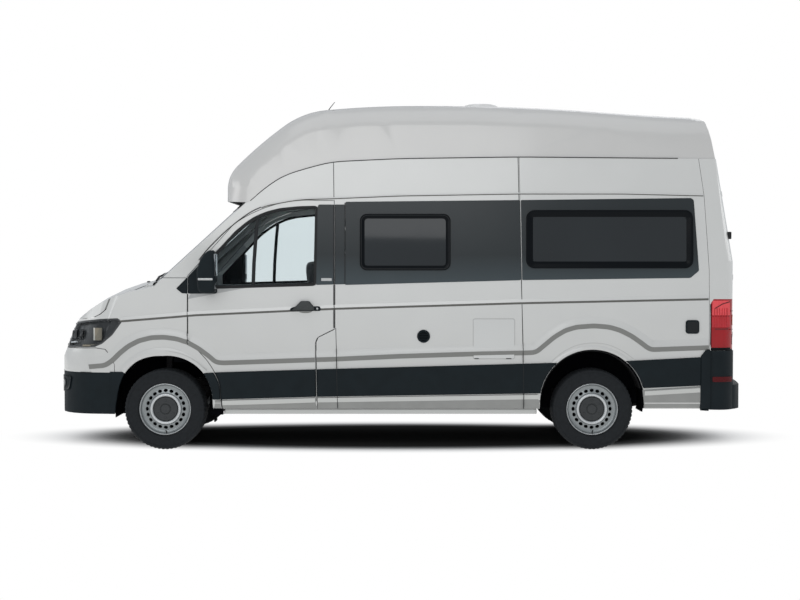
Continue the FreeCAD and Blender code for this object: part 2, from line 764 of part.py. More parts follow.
def sketch_on(body, name, role, outline):
    """Sketch of closed lines on one of the body's origin planes, each corner held by two sizes."""
    sketch = body.newObject("Sketcher::SketchObject", name)
    sketch.AttachmentSupport = [(origin_plane(body, role), "")]
    sketch.MapMode = "FlatFace"
    corners = [Vector(as_dim(u).value, as_dim(v).value, 0) for u, v in outline]
    for start, end in zip(corners, corners[1:] + corners[:1]):
        sketch.addGeometry(Part.LineSegment(start, end), False)
    for index, (u, v) in enumerate(outline):
        before = (index - 1) % len(outline)
        sketch.addConstraint(Sketcher.Constraint("Coincident", before, 2, index, 1))
        hold(sketch, index, "DistanceX", -2, u)
        hold(sketch, index, "DistanceY", -1, v)
    return sketch


def turned(name, outline):
    """Body turned about its Y axis from an outline in radius and width."""
    body = doc.addObject("PartDesign::Body", name)
    body.Label = name
    sketch = sketch_on(body, name + "_profile", "XY_Plane", outline)
    turn = body.newObject("PartDesign::Revolution", name + "_turned")
    turn.Profile = sketch
    turn.ReferenceAxis = (sketch, ["V_Axis"])
    turn.Angle = 360
    doc.recompute()
    nodes[name] = body
    return body


SHOULDER = 16


def tyre_outline():
    """Tyre section: radius, width; outer face at negative width."""
    r = dim("wheel_radius")
    w = dim("tyre_width") * 0.5
    bead = dim("flange_radius") + 0.5
    return [
        (bead, -w), (r - SHOULDER, -w), (r, -w + SHOULDER),
        (r, w - SHOULDER), (r - SHOULDER, w), (bead, w),
    ]


def rim_outline():
    """Pressed steel rim: barrel, recessed disc with a raised hub cap, and its open back."""
    edge = dim("flange_radius")
    half = dim("rim_half_width")
    hub = -dim("hub_offset") - 1
    disc_back = -44
    disc_front = -74
    cap_radius = 60
    cap_front = -82
    return [
        (0, hub), (92, hub), (92, disc_back), (188, disc_back), (188, half), (edge, half),
        (edge, -half), (206, -half), (206, -58), (150, -58), (118, disc_front), (86, disc_front),
        (86, -56), (cap_radius, -56), (cap_radius, cap_front), (0, cap_front),
    ]


# wheel, axle's X, side
WHEELS = {
    "front_left": (dim("front_axle_x"), -1),
    "front_right": (dim("front_axle_x"), 1),
    "rear_left": (dim("front_axle_x") + dim("wheelbase"), -1),
    "rear_right": (dim("front_axle_x") + dim("wheelbase"), 1),
}
RIM_HOLES = 20
HOLE_CIRCLE = 176
HOLE_HALF = (9, 8)
HOLE_CORNERS = [math.radians(45 + 90 * corner) for corner in range(4)]


def place_wheel(body, axle_x, side):
    """Turn a wheel's body to its side and bind its middle to the axle."""
    body.Placement = Placement(Vector(), Rotation(Vector(0, 0, 1), 0 if side < 0 else 180))
    bind(body, "Placement.Base.x", axle_x)
    bind(body, "Placement.Base.y", dim("half_track") * side)
    bind(body, "Placement.Base.z", dim("wheel_radius"))


for where, (axle_x, side) in WHEELS.items():
    place_wheel(turned("tyre_" + where, tyre_outline()), axle_x, side)
    rim = turned("rim_" + where, rim_outline())
    corners = [(HOLE_CIRCLE + HOLE_HALF[0] * math.cos(turn), HOLE_HALF[1] * math.sin(turn))
               for turn in HOLE_CORNERS]
    pocket = rim.newObject("PartDesign::Pocket", "pocket_" + where)
    pocket.Profile = sketch_on(rim, "hole_" + where, "XZ_Plane", corners)
    pocket.Type = 1
    pocket.Midplane = True
    ring = rim.newObject("PartDesign::PolarPattern", "holes_" + where)
    ring.Originals = [pocket]
    ring.Axis = (origin_plane(rim, "Y_Axis"), [""])
    ring.Angle = 360
    ring.Occurrences = RIM_HOLES
    rim.Tip = ring
    place_wheel(rim, axle_x, side)

# ---------------------------------------------------------------- running gear

AXLE = dim("front_axle_x")
BACK_AXLE = AXLE + dim("wheelbase")
KING = dim("kingpin_y")
HUB = dim("half_track") + dim("hub_offset") - dim("hub_play")
AXIS_Z = dim("wheel_radius")
STUB = dim("stub_radius")
BRAKE = dim("brake_radius")


def rod(x0, y0, z0, x1, y1, z1, radius):
    """Round bar between two points."""
    start = Vector(x0, y0, z0)
    axis = Vector(x1, y1, z1) - start
    return Part.makeCylinder(radius, axis.Length, start, axis)


knuckle = node_of("Part::MultiFuse", "knuckle_left", Shapes=[
    bound_box("king_pin", (AXLE - 24, AXLE + 24), (-KING - 24, -KING + 24), (250, 900)),
    bound_box("knuckle_block", (AXLE - 45, AXLE + 45), (-KING - 32, -KING + 32), (262, 430)),
    bound_bar("stub_axle", STUB, AXLE, (-HUB, -KING), AXIS_Z),
    bound_bar("brake_disc", BRAKE, AXLE, (-828, -804), AXIS_Z),
])
nodes["knuckle_right"] = mirror_image("knuckle_right", knuckle)

# block of the left half: X from and to, Y from and to, Z from and to
HALF_FRAME = {
    "lower_arm": ((AXLE - 40, AXLE + 40), (-KING - 30, -330), (214, 240)),
    "arm_pin": ((AXLE - 16, AXLE + 16), (-KING - 16, -KING + 16), (240, 249)),
    "spring_tower": ((AXLE - 70, AXLE + 70), (-KING - 60, -560), (906, 930)),
    "tower_leg": ((AXLE - 70, AXLE + 70), (-572, -560), (240, 906)),
    "longeron": ((-2700, -1480), (-500, -420), (420, 500)),
    "tower_link": ((AXLE - 70, AXLE + 70), (-562, -490), (420, 500)),
    "tower_brace": ((AXLE - 70, -1930), (-KING - 60, -560), (906, 930)),
}
# block across the middle
CROSS_FRAME = {
    "crossmember": ((AXLE - 90, AXLE + 90), (-340, 340), (200, 270)),
    "cross_plate": ((AXLE - 60, AXLE + 60), (-442, 442), (240, 268)),
    "bumper_beam": ((-2740, -2690), (-790, 790), (440, 540)),
    "cross_leg_left": ((AXLE - 60, AXLE + 60), (-442, -418), (268, 430)),
    "cross_leg_right": ((AXLE - 60, AXLE + 60), (418, 442), (268, 430)),
}
half_frame = doc.addObject("Part::MultiFuse", "half_frame")
half_frame.Shapes = [bound_box(name, *sides) for name, sides in HALF_FRAME.items()]
across = [bound_box(name, *sides) for name, sides in CROSS_FRAME.items()]
node_of("Part::MultiFuse", "front_subframe",
        Shapes=[half_frame, mirror_image("half_frame_right", half_frame)] + across)

engine_half = dim("engine_width") * 0.5
engine_x = dim("engine_x")
engine_z = dim("engine_z")
nodes["engine"] = bound_box("engine", (engine_x, engine_x + dim("engine_length")),
                            (-engine_half, engine_half), (engine_z, engine_z + dim("engine_height")))

LEAF_Y = 470
LEAF_HALF = 35
axle_parts = [
    bound_bar("axle_tube", dim("rear_tube_radius"), BACK_AXLE, (-HUB, HUB), AXIS_Z),
    bound_bar("drum_left", BRAKE, BACK_AXLE, (-840, -780), AXIS_Z),
    bound_bar("drum_right", BRAKE, BACK_AXLE, (780, 840), AXIS_Z),
    bound_bar("hub_left", STUB, BACK_AXLE, (-HUB, -780), AXIS_Z),
    bound_bar("hub_right", STUB, BACK_AXLE, (780, HUB), AXIS_Z),
]
for where, y in (("left", -LEAF_Y), ("right", LEAF_Y)):
    leaf = prism([
        (REAR_AXLE - 640, 392), (REAR_AXLE, 285, REAR_AXLE + 700, 392),
        (REAR_AXLE + 700, 400), (REAR_AXLE, 312, REAR_AXLE - 640, 400),
    ], "xz", y - LEAF_HALF, y + LEAF_HALF)
    axle_parts.append(loose("leaf_spring_" + where, leaf))
    axle_parts.append(bound_box("spring_seat_" + where, (BACK_AXLE - 50, BACK_AXLE + 50),
                                (y - 40, y + 40), (285, 350)))
node_of("Part::MultiFuse", "rear_axle", Shapes=axle_parts)

# ---------------------------------------------------------------- rear bumper, mirrors, vent

bumper_step = prism([
    (2630, -1012), (2775, -1000), (2862, -940), (2912, -860), (2993, 0, 2912, 860),
    (2862, 940), (2775, 1000), (2630, 1012),
], "xy", 345, 552)
step_hollow = block(2600, 2850, -880, 880, 300, 520).fuse(block(2600, 2700, -985, 985, 300, 520))
wrap = leaned(plan_steps(), 0, 0.0, -8).common(block(2630, 3000, -OUT, OUT, 345, 845))
wrap = wrap.cut(block(2500, 3100, -912, 912, 500, 900))
rear_bumper = bumper_step.fuse(wrap).cut(SKIN.common(block(2400, 3100, -OUT, OUT, 300, 900)))
add_panel("rear_bumper", rear_bumper.cut(step_hollow))

mirror_head = prism(rounded(-1705, -1534, 1326, 1700, 40), "xz", -1260, -1075)
mirror_arm = block(-1660, -1580, -1090, -1003, 1385, 1430)
sail = side_layer(-6, 0).common(prism([(-1798, 1388), (-1560, 1388), (-1560, 1690)], "xz", -OUT, -700))
mirror = mirror_head.fuse([mirror_arm, sail])
add_panel("mirror_left", mirror)
add_panel("mirror_right", mirrored(mirror))

vent_base = block(560, 900, -210, 210, 2900, 2972)
vent_dome = prism([(575, 2965), (885, 2965), (868, 3008), (835, 3036), (630, 3036), (592, 3008)],
                  "xz", -195, 195)
add_panel("roof_vent", vent_base.fuse(vent_dome).cut(cap_outside))

# ---------------------------------------------------------------- cab and living space inside

dash_steps = [(-1900, 1400), (-1900, 900), (-1650, 880), (-1560, 1000), (-1560, 1180),
              (-1620, 1290), (-1760, 1350), (-1890, 1402)]
dash = prism(dash_steps, "xz", -870, 870)
column = rod(-1640, -430, 1080, -1480, -430, 1170, 28)
add_panel("dash", dash.fuse(column))
wheel_axis = Vector(160, 0, 90).normalize()
hub_point = Vector(-1470, -430, 1175.6)
rim_middle = hub_point + wheel_axis * 20
grip = [rim_middle + Vector(0, out, 0) + wheel_axis * up
        for out, up in ((176, -12), (204, -12), (204, 12), (176, 12), (176, -12))]
steer_rim = Part.Face(Part.makePolygon(grip)).revolve(rim_middle, wheel_axis, 360)
boss = Part.makeCylinder(45, 45, hub_point + wheel_axis * 2, wheel_axis)
spokes = []
for angle in (90, 210, 330):
    arm_dir = Vector(0, math.cos(math.radians(angle)), math.sin(math.radians(angle)))
    across = Rotation(Vector(1, 0, 0), wheel_axis).multVec(arm_dir)
    spoke = Part.makeBox(150, 36, 14, Vector(35, -18, 13))
    spoke.transformShape(Placement(hub_point, Rotation(across, Vector(), wheel_axis, "ZXY")).toMatrix())
    spokes.append(spoke)
fused("steering_wheel", [steer_rim, boss] + spokes)

FLOOR_TOP = dim("floor_z") + dim("floor_depth")
SEAT_HALF = dim("seat_width") * 0.5
seats = []
for where, middle in (("left", -dim("seat_y")), ("right", dim("seat_y"))):
    recline = [(-900, 930), (-780, 930), (-640, 1600), (-740, 1620)]
    back = prism(recline, "xz", middle.value - 240, middle.value + 240)
    seat = doc.addObject("Part::MultiFuse", "seat_" + where)
    seat.Shapes = [
        bound_box("seat_base_" + where, (-1330, -880), (middle - 200, middle + 200), (FLOOR_TOP, 830)),
        bound_box("cushion_" + where, (-1360, -850), (middle - SEAT_HALF, middle + SEAT_HALF), (830, 960)),
        loose("seat_back_" + where, back),
        bound_box("headrest_" + where, (-745, -650), (middle - 120, middle + 120), (1600, 1790)),
    ]
    seats.append(seat)
node_of("Part::Compound", "cab_seats", Links=seats)

KITCHEN_X = -200
bed_x = dim("bed_x")
node_of("Part::Compound", "furniture", Links=[
    bound_box("kitchen_unit", (KITCHEN_X, dim("kitchen_length") + KITCHEN_X),
              (-dim("unit_outer_y"), -dim("unit_inner_y")), (FLOOR_TOP, 1450)),
    bound_box("bed_base", (bed_x, bed_x + dim("bed_length")),
              (-dim("unit_outer_y"), dim("unit_outer_y")), (FLOOR_TOP + 300, FLOOR_TOP + 560)),
])

# ---------------------------------------------------------------- check and export

doc.recompute()
for item in doc.Objects:
    if "Invalid" in item.State or "Error" in item.State:
        print("failed:", item.Label, item.State)
for name, item in nodes.items():
    shape = item.Shape
    if shape.isNull() or not shape.isValid() or not shape.Solids:
        print("bad shape:", name, len(shape.Solids), shape.isValid())
    if len(shape.Solids) != 1:
        print("solids:", name, len(shape.Solids), [round(x.Volume) for x in shape.Solids])
os.makedirs("parts", exist_ok=True)
for name, item in nodes.items():
    shape = item.Shape
    single = shape.Solids[0] if len(shape.Solids) == 1 else shape
    single.exportStep(f"parts/{name}.step")
print("nodes", len(nodes))
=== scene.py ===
"""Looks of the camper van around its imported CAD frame. Metres; +X rear, +Y right, +Z up."""
import math

import bmesh
import bpy
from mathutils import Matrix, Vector
from mathutils.bvhtree import BVHTree


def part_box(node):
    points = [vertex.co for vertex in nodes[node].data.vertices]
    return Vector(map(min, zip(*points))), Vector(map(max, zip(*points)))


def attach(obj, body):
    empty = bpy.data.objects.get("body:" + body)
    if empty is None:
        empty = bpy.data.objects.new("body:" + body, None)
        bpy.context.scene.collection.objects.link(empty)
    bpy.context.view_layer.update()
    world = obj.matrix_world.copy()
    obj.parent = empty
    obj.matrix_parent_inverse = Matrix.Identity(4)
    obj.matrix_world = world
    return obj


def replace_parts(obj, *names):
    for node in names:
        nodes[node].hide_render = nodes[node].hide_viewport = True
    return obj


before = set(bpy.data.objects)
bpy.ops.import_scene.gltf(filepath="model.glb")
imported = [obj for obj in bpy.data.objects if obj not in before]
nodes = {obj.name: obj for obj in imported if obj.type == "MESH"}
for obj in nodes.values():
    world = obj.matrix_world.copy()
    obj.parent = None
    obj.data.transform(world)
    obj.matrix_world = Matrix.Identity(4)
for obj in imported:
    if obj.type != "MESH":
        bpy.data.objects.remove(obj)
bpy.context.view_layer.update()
LEFT, RIGHT = -1, 1
SHELL = "shell"


def edge_of(node, axis, end):
    """One side of a CAD node's box: axis 0, 1, 2 and end 0 (low) or 1 (high)."""
    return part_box(node)[end][axis]


# ------------------------------------------------------------------ camera and light

FRONT_HUB = [(a + b) / 2 for a, b in zip(*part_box("rim_front_left"))]
REAR_HUB = [(a + b) / 2 for a, b in zip(*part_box("rim_rear_left"))]
SIDE_Y = edge_of("side_left", 1, 0)
CAMERA_DISTANCE = 12.05
CAMERA_HEIGHT = 1.607
FOCAL = 64.0
TILT_DOWN = 1.57


def make_camera():
    """Camera square to the left side, about eye height."""
    data = bpy.data.cameras.new("camera")
    data.lens = FOCAL
    data.sensor_width = 36.0
    data.clip_end = 200.0
    camera = bpy.data.objects.new("camera", data)
    bpy.context.scene.collection.objects.link(camera)
    camera.location = (0.0, SIDE_Y - CAMERA_DISTANCE, CAMERA_HEIGHT)
    camera.rotation_euler = (math.radians(90.0 - TILT_DOWN), 0.0, 0.0)
    bpy.context.scene.camera = camera


def make_light(name, place, target, size, power, tint=(1.0, 1.0, 1.0)):
    """Soft rectangular lamp aimed at a point."""
    data = bpy.data.lights.new(name, "AREA")
    data.shape = "RECTANGLE"
    data.size, data.size_y = size
    data.energy = power
    data.color = tint
    lamp = bpy.data.objects.new(name, data)
    bpy.context.scene.collection.objects.link(lamp)
    lamp.location = place
    aim = Vector(target) - Vector(place)
    lamp.rotation_euler = aim.to_track_quat("-Z", "Y").to_euler()


def node_tree(holder):
    """Cleared node tree of a material or world."""
    holder.use_nodes = True
    tree = holder.node_tree
    tree.nodes.clear()
    return tree


def shader_node(tree, kind, values=None, **settings):
    """New shader node with its settings and input values."""
    made = tree.nodes.new("ShaderNode" + kind)
    for key, value in settings.items():
        setattr(made, key, value)
    for key, value in (values or {}).items():
        made.inputs[key].default_value = value
    return made


def wire(tree, *pairs):
    """Links, each given as node, output, node, input."""
    for source, output, target, entry in pairs:
        tree.links.new(source.outputs[output], target.inputs[entry])


def make_world():
    """Even pale surroundings that show white to the camera and through glass."""
    world = bpy.data.worlds.new("world")
    bpy.context.scene.world = world
    tree = node_tree(world)
    out = shader_node(tree, "OutputWorld")
    soft = shader_node(tree, "Background", {"Color": (0.93, 0.96, 1.0, 1.0), "Strength": 0.66})
    white = shader_node(tree, "Background", {"Color": (1.0, 1.0, 1.0, 1.0), "Strength": 1.0})
    path = shader_node(tree, "LightPath")
    either = shader_node(tree, "Math", operation="MAXIMUM")
    mix = shader_node(tree, "MixShader")
    wire(tree, (path, "Is Camera Ray", either, 0), (path, "Is Transmission Ray", either, 1),
        (either, 0, mix, "Fac"), (soft, 0, mix, 1), (white, 0, mix, 2), (mix, 0, out, "Surface"))


def make_floor():
    """Pale floor with a painted shadow: dark near the van, fading to white around it; the van's cast shadow
    falls on it too.
    """
    bpy.ops.mesh.primitive_plane_add(size=80.0, location=(0.0, 0.0, -0.001))
    floor = bpy.context.object
    floor.name = "floor"
    material = bpy.data.materials.new("floor")
    tree = node_tree(material)
    out = shader_node(tree, "OutputMaterial")
    matte = shader_node(tree, "BsdfDiffuse", {"Color": (0.86, 0.86, 0.86, 1.0)})
    # painted shadow: the floor's colour falls to 0.05 close round the van
    painted_shadow = shader_node(tree, "MapRange", {"From Min": 0.72, "From Max": 1.05, "To Min": 0.05, "To Max": 0.86},
        interpolation_type="SMOOTHSTEP")
    glow = shader_node(tree, "Emission", {"Strength": 1.0})
    coords = shader_node(tree, "TexCoord")
    scale = shader_node(tree, "VectorMath", {1: (1.0 / 2.95, 1.0, 0.0)}, operation="MULTIPLY")
    length = shader_node(tree, "VectorMath", operation="LENGTH")
    fade = shader_node(tree, "MapRange", {"From Min": 0.86, "From Max": 1.25}, interpolation_type="SMOOTHSTEP")
    mix = shader_node(tree, "MixShader")
    wire(tree, (coords, "Object", scale, 0), (scale, 0, length, 0), (length, "Value", fade, "Value"),
        (length, "Value", painted_shadow, "Value"), (painted_shadow, "Result", matte, "Color"), (fade, "Result", mix, "Fac"),
        (matte, 0, mix, 1), (glow, 0, mix, 2), (mix, 0, out, "Surface"))
    floor.data.materials.append(material)


make_camera()
make_world()
make_floor()
make_light("overhead", (0.0, -1.5, 8.0), (0.0, 0.0, 1.0), (9.0, 6.0), 90.0)
make_light("side_left", (-2.0, -9.0, 4.5), (0.0, -1.0, 1.3), (8.0, 4.0), 150.0)
make_light("side_right", (2.0, 9.0, 4.5), (0.0, 1.0, 1.3), (8.0, 4.0), 150.0)
make_light("front", (-9.0, -1.0, 3.5), (-2.0, 0.0, 1.2), (4.0, 3.0), 60.0)
make_light("rear", (9.0, 1.0, 3.5), (2.0, 0.0, 1.2), (4.0, 3.0), 60.0)
bpy.context.scene.view_settings.view_transform = "Standard"

# ------------------------------------------------------------------ materials


class Surface:
    """A procedural material: a principled shader with noise in its colour, gloss and bump."""

    def __init__(self, name, colour, roughness, **values):
        self.material = bpy.data.materials.new(name)
        self.tree = node_tree(self.material)
        self.out = self.add("OutputMaterial")
        self.shader = self.add("BsdfPrincipled")
        self.link(self.shader.outputs[0], self.out.inputs["Surface"])
        self.colour = colour
        self.shader.inputs["Base Color"].default_value = (*colour, 1.0)
        self.shader.inputs["Roughness"].default_value = roughness
        for key, value in values.items():
            self.shader.inputs[key.replace("_", " ")].default_value = value
        self.material.diffuse_color = (*colour, 1.0)

    def add(self, kind, values=None, **settings):
        return shader_node(self.tree, kind, values, **settings)

    def link(self, source, target):
        self.tree.links.new(source, target)

    def noise(self, scale, detail=3.0, stretch=(1.0, 1.0, 1.0)):
        """Noise in object space, with its own stretch along each axis."""
        coords = self.add("TexCoord")
        mapping = self.add("Mapping", {"Scale": stretch})
        noise = self.add("TexNoise", {"Scale": scale, "Detail": detail})
        self.link(coords.outputs["Object"], mapping.inputs["Vector"])
        self.link(mapping.outputs["Vector"], noise.inputs["Vector"])
        return noise.outputs["Fac"]

    def vary_colour(self, scale, amount, stretch=(1.0, 1.0, 1.0)):
        """Lighter and darker by amount around the base colour."""
        ramp = self.add("ValToRGB")
        ramp.color_ramp.elements[0].position = 0.3
        ramp.color_ramp.elements[1].position = 0.7
        ramp.color_ramp.elements[0].color = (*[c * (1 - amount) for c in self.colour], 1.0)
        ramp.color_ramp.elements[1].color = (*[min(1.0, c * (1 + amount)) for c in self.colour], 1.0)
        self.link(self.noise(scale, 3.0, stretch), ramp.inputs["Fac"])
        self.link(ramp.outputs["Color"], self.shader.inputs["Base Color"])
        return self

    def vary_gloss(self, scale, low, high):
        """Roughness wandering between two values."""
        spread = self.add("MapRange", {"To Min": low, "To Max": high})
        self.link(self.noise(scale, 4.0), spread.inputs["Value"])
        self.link(spread.outputs["Result"], self.shader.inputs["Roughness"])
        return self

    def grain(self, scale, depth, strength=0.4, stretch=(1.0, 1.0, 1.0)):
        """Fine bump."""
        bump = self.add("Bump", {"Distance": depth, "Strength": strength})
        self.link(self.noise(scale, 2.0, stretch), bump.inputs["Height"])
        self.link(bump.outputs["Normal"], self.shader.inputs["Normal"])
        return self

    def paint_light_by_height(self, low_z, high_z, low_gain):
        """Painted light by height: multiply the colour by low_gain at low_z, easing to 1 at high_z."""
        coords = self.add("TexCoord")
        apart = self.add("SeparateXYZ")
        self.link(coords.outputs["Object"], apart.inputs[0])
        spread = self.add("MapRange", {"From Min": low_z, "From Max": high_z, "To Min": low_gain,
            "To Max": 1.0})
        self.link(apart.outputs["Z"], spread.inputs["Value"])
        scale = self.add("VectorMath", operation="SCALE")
        socket = self.shader.inputs["Base Color"]
        if socket.links:
            self.link(socket.links[0].from_socket, scale.inputs[0])
        else:
            scale.inputs[0].default_value = self.colour
        self.link(spread.outputs["Result"], scale.inputs["Scale"])
        self.link(scale.outputs["Vector"], socket)
        return self


def make_paint(name, colour, fade=None):
    """Two-layer van paint: solid pale coat with a faint orange peel."""
    paint = Surface(name, colour, 0.34, Coat_Weight=0.45, Coat_Roughness=0.08, Metallic=0.12)
    paint.vary_colour(3.0, 0.012).grain(260.0, 0.0004, 0.1)
    # optional painted light by height: low_z, high_z and the gain at low_z
    if fade:
        paint.paint_light_by_height(*fade)
    return paint.material


def make_plastic(name, colour, roughness=0.55, depth=0.0006, shine=0.5):
    """Grained moulded plastic."""
    plastic = Surface(name, colour, roughness, IOR=1.45, Specular_IOR_Level=shine)
    return plastic.vary_colour(9.0, 0.1).vary_gloss(14.0, roughness - 0.07, roughness + 0.07).grain(420.0,
        depth, 0.35).material


# body paint with painted shade: 9% darker at 0.7 m, easing out by 1.3 m
PAINT = make_paint("paint", (0.548, 0.555, 0.545), (0.7, 1.3, 0.91))
GELCOAT = make_paint("gelcoat", (0.505, 0.503, 0.493))
CLADDING = make_plastic("cladding", (0.0052, 0.0096, 0.0122), 0.62, 0.0006, 0.18)
TRIM = make_plastic("trim", (0.005, 0.007, 0.0085), 0.45, 0.0003, 0.3)
DASH = make_plastic("dash", (0.085, 0.09, 0.096), 0.62)
# mirror glass dimmed to a dark reflectance, a painted dark reflection
MIRROR_GLASS = Surface("mirror_glass", (0.13, 0.14, 0.15), 0.06, Metallic=0.9).vary_gloss(6.0, 0.04,
    0.08).material
# near-black: the own colour of rubber seals, catches and rails, and painted shade in the gap strips between
# panels and on gap walls
BLACK_PARTS_AND_GAP_SHADE = make_plastic("seam", (0.008, 0.009, 0.01), 0.8, 0.0002)
LINING = make_plastic("lining", (0.36, 0.37, 0.37), 0.7)
UNDERBODY = Surface("underbody", (0.01, 0.01, 0.011), 0.8, Specular_IOR_Level=0.2).vary_colour(12.0,
    0.25).grain(60.0, 0.002, 0.5).material
ALLOY = Surface("alloy", (0.3, 0.3, 0.3), 0.5, Metallic=0.8).vary_colour(20.0, 0.15).grain(150.0, 0.0008,
    0.4).material
RIM = Surface("rim", (0.24, 0.26, 0.265), 0.34, Metallic=0.65, Coat_Weight=0.2).vary_colour(30.0,
    0.04).vary_gloss(40.0, 0.3, 0.42).grain(300.0, 0.0003, 0.15).material
TYRE = Surface("tyre", (0.0085, 0.0105, 0.0125), 0.8, Specular_IOR_Level=0.25).vary_colour(40.0,
    0.18).vary_gloss(25.0, 0.7, 0.88).grain(500.0, 0.0005, 0.4).material
# window band with painted light: up to 2.6 times lighter towards its lower edge, easing out by 1.66 m
BAND = Surface("band", (0.0135, 0.0185, 0.021), 0.24, Specular_IOR_Level=0.35).vary_colour(1.4,
    0.06).paint_light_by_height(1.44, 1.66, 2.6).vary_gloss(5.0, 0.2, 0.28).material
SEAT = Surface("seat", (0.055, 0.056, 0.06), 0.9, Sheen_Weight=0.4).vary_colour(90.0, 0.2).grain(900.0, 0.0012,
    0.7).material
WOOD = Surface("wood", (0.46, 0.4, 0.32), 0.45).vary_colour(7.0, 0.16, (0.6, 6.0, 6.0)).grain(60.0, 0.0003, 0.3,
    (0.4, 6.0, 6.0)).material
CHROME = Surface("bright", (0.78, 0.79, 0.8), 0.14, Metallic=1.0).vary_gloss(60.0, 0.1, 0.18).material
LAMP_RED = Surface("lamp_red", (0.28, 0.006, 0.01), 0.14, Specular_IOR_Level=0.3).vary_colour(16.0, 0.12,
    (1.0, 1.0, 0.3)).material
LAMP_PINK = Surface("lamp_pink", (0.68, 0.075, 0.085), 0.14, Specular_IOR_Level=0.3).vary_colour(40.0, 0.1,
    (1.0, 1.0, 0.3)).material
LAMP_ROSE = Surface("lamp_rose", (0.44, 0.026, 0.034), 0.16, Specular_IOR_Level=0.3).vary_colour(40.0, 0.12,
    (1.0, 1.0, 0.3)).material
LAMP_DEEP = Surface("lamp_deep", (0.085, 0.004, 0.006), 0.2).vary_colour(40.0, 0.15).material
LAMP_CLEAR = Surface("lamp_clear", (0.62, 0.6, 0.6), 0.12).vary_colour(60.0, 0.1).material
LAMP_AMBER = Surface("lamp_amber", (0.46, 0.13, 0.02), 0.14).vary_colour(60.0, 0.1).material
REFLECTOR_RED = Surface("reflector_red", (0.07, 0.004, 0.006), 0.3, Specular_IOR_Level=0.15).vary_colour(120.0,
    0.3).material

SILVER = Surface("silver_trim", (0.42, 0.43, 0.43), 0.3, Metallic=0.8).vary_gloss(40.0, 0.26, 0.36).grain(300.0,
    0.0003, 0.15).material
HANDLE_GREY = make_plastic("handle_grey", (0.04, 0.044, 0.044), 0.5, 0.0003, 0.3)
FLAP_PAINT = make_paint("flap_paint", (0.525, 0.535, 0.528))
# painted shade: dark grey lines standing for the shade in panel gaps and seams
GAP_SHADE_LINE = make_plastic("gap_line", (0.045, 0.046, 0.045), 0.8, 0.0002, 0.2)
PLATE_WHITE = make_plastic("plate_blank", (0.62, 0.62, 0.6), 0.45, 0.0001)
FRIT = make_plastic("frit", (0.006, 0.007, 0.008), 0.25, 0.0001, 0.4)
LAMP_CREAM = make_plastic("lamp_cream", (0.46, 0.455, 0.42), 0.3, 0.0001)
LAMP_BRONZE = Surface("lamp_bronze", (0.2, 0.18, 0.14), 0.3, Metallic=0.3).vary_gloss(60.0, 0.18, 0.32).material
DAY_LIGHT = make_plastic("day_light", (0.72, 0.74, 0.76), 0.25, 0.0002)
SILL = Surface("sill", (0.245, 0.25, 0.243), 0.42, Metallic=0.25).vary_colour(6.0, 0.06).grain(220.0, 0.0004,
    0.2).material
SILL_PAINT = make_paint("sill_paint", (0.47, 0.48, 0.465))
SHADE_PAINT = make_paint("paint_in_shade", (0.07, 0.07, 0.064))
# painted shade: body paint darkened under the swage ledges, on the bonnet's and wings' gap walls and in the
# handle bowls
LEDGE_SHADE_PAINT = make_paint("paint_under_ledge", (0.158, 0.162, 0.154))
VENT_WHITE = make_plastic("vent_white", (0.66, 0.66, 0.65), 0.38, 0.0002)
# painted shade: body paint darkened along the arch folds and in the service flap's gap
FOLD_SHADE_PAINT = make_paint("paint_in_fold", (0.4, 0.405, 0.395))
LAMP_SMOKE = make_plastic("lamp_inside", (0.032, 0.034, 0.036), 0.35, 0.0002, 0.5)
FRAME_BLACK = Surface("window_frame", (0.0016, 0.0028, 0.0042), 0.32, Specular_IOR_Level=0.1).vary_gloss(12.0,
    0.18, 0.28).grain(300.0, 0.0003, 0.15).material
PANE_DARK = Surface("window_pane", (0.01, 0.0135, 0.016), 0.07, Specular_IOR_Level=0.45).vary_colour(1.1,
    0.1).vary_gloss(4.0, 0.04, 0.09).material
HUB_GREY = make_plastic("hub_grey", (0.034, 0.037, 0.039), 0.55, 0.0004, 0.3)
# painted highlight: lighter metal for the crowns of the rim's lip and dish
RIM_HIGHLIGHT = Surface("rim_bright", (0.5, 0.52, 0.53), 0.28, Metallic=0.7).vary_gloss(40.0, 0.24,
    0.34).grain(300.0, 0.0003, 0.15).material
# near-black: the arch liners' and mud flaps' own plastic, and painted shade in the bay panels and behind the
# rim's holes
LINER_AND_SHADE = Surface("arch_liner", (0.0016, 0.0018, 0.0026), 0.95, Specular_IOR_Level=0.04).vary_colour(30.0,
    0.3).grain(90.0, 0.002, 0.6).material


def make_glass(name, tint, alpha_mix, roughness=0.02, body=(0.012, 0.014, 0.016)):
    """Thin pane: a tinted see-through part under a glossy film."""
    material = bpy.data.materials.new(name)
    tree = node_tree(material)
    out = shader_node(tree, "OutputMaterial")
    clear = shader_node(tree, "BsdfTransparent", {"Color": (*tint, 1.0)})
    film = shader_node(tree, "BsdfPrincipled", {"Base Color": (*body, 1.0), "Roughness": roughness, "IOR": 1.5})
    grazing = shader_node(tree, "LayerWeight", {"Blend": 0.5})
    rise = shader_node(tree, "Math", {1: 5.0}, operation="POWER")
    coords = shader_node(tree, "TexCoord")
    noise = shader_node(tree, "TexNoise", {"Scale": 2.0})
    spread = shader_node(tree, "MapRange", {"To Min": alpha_mix * 0.96, "To Max": alpha_mix * 1.04})
    strongest = shader_node(tree, "Math", operation="MAXIMUM")
    mix = shader_node(tree, "MixShader")
    wire(tree, (grazing, "Facing", rise, 0), (coords, "Object", noise, "Vector"),
        (noise, "Fac", spread, "Value"), (spread, "Result", strongest, 0), (rise, "Value", strongest, 1),
        (strongest, 0, mix, "Fac"), (clear, 0, mix, 1), (film, 0, mix, 2), (mix, 0, out, "Surface"))
    return material


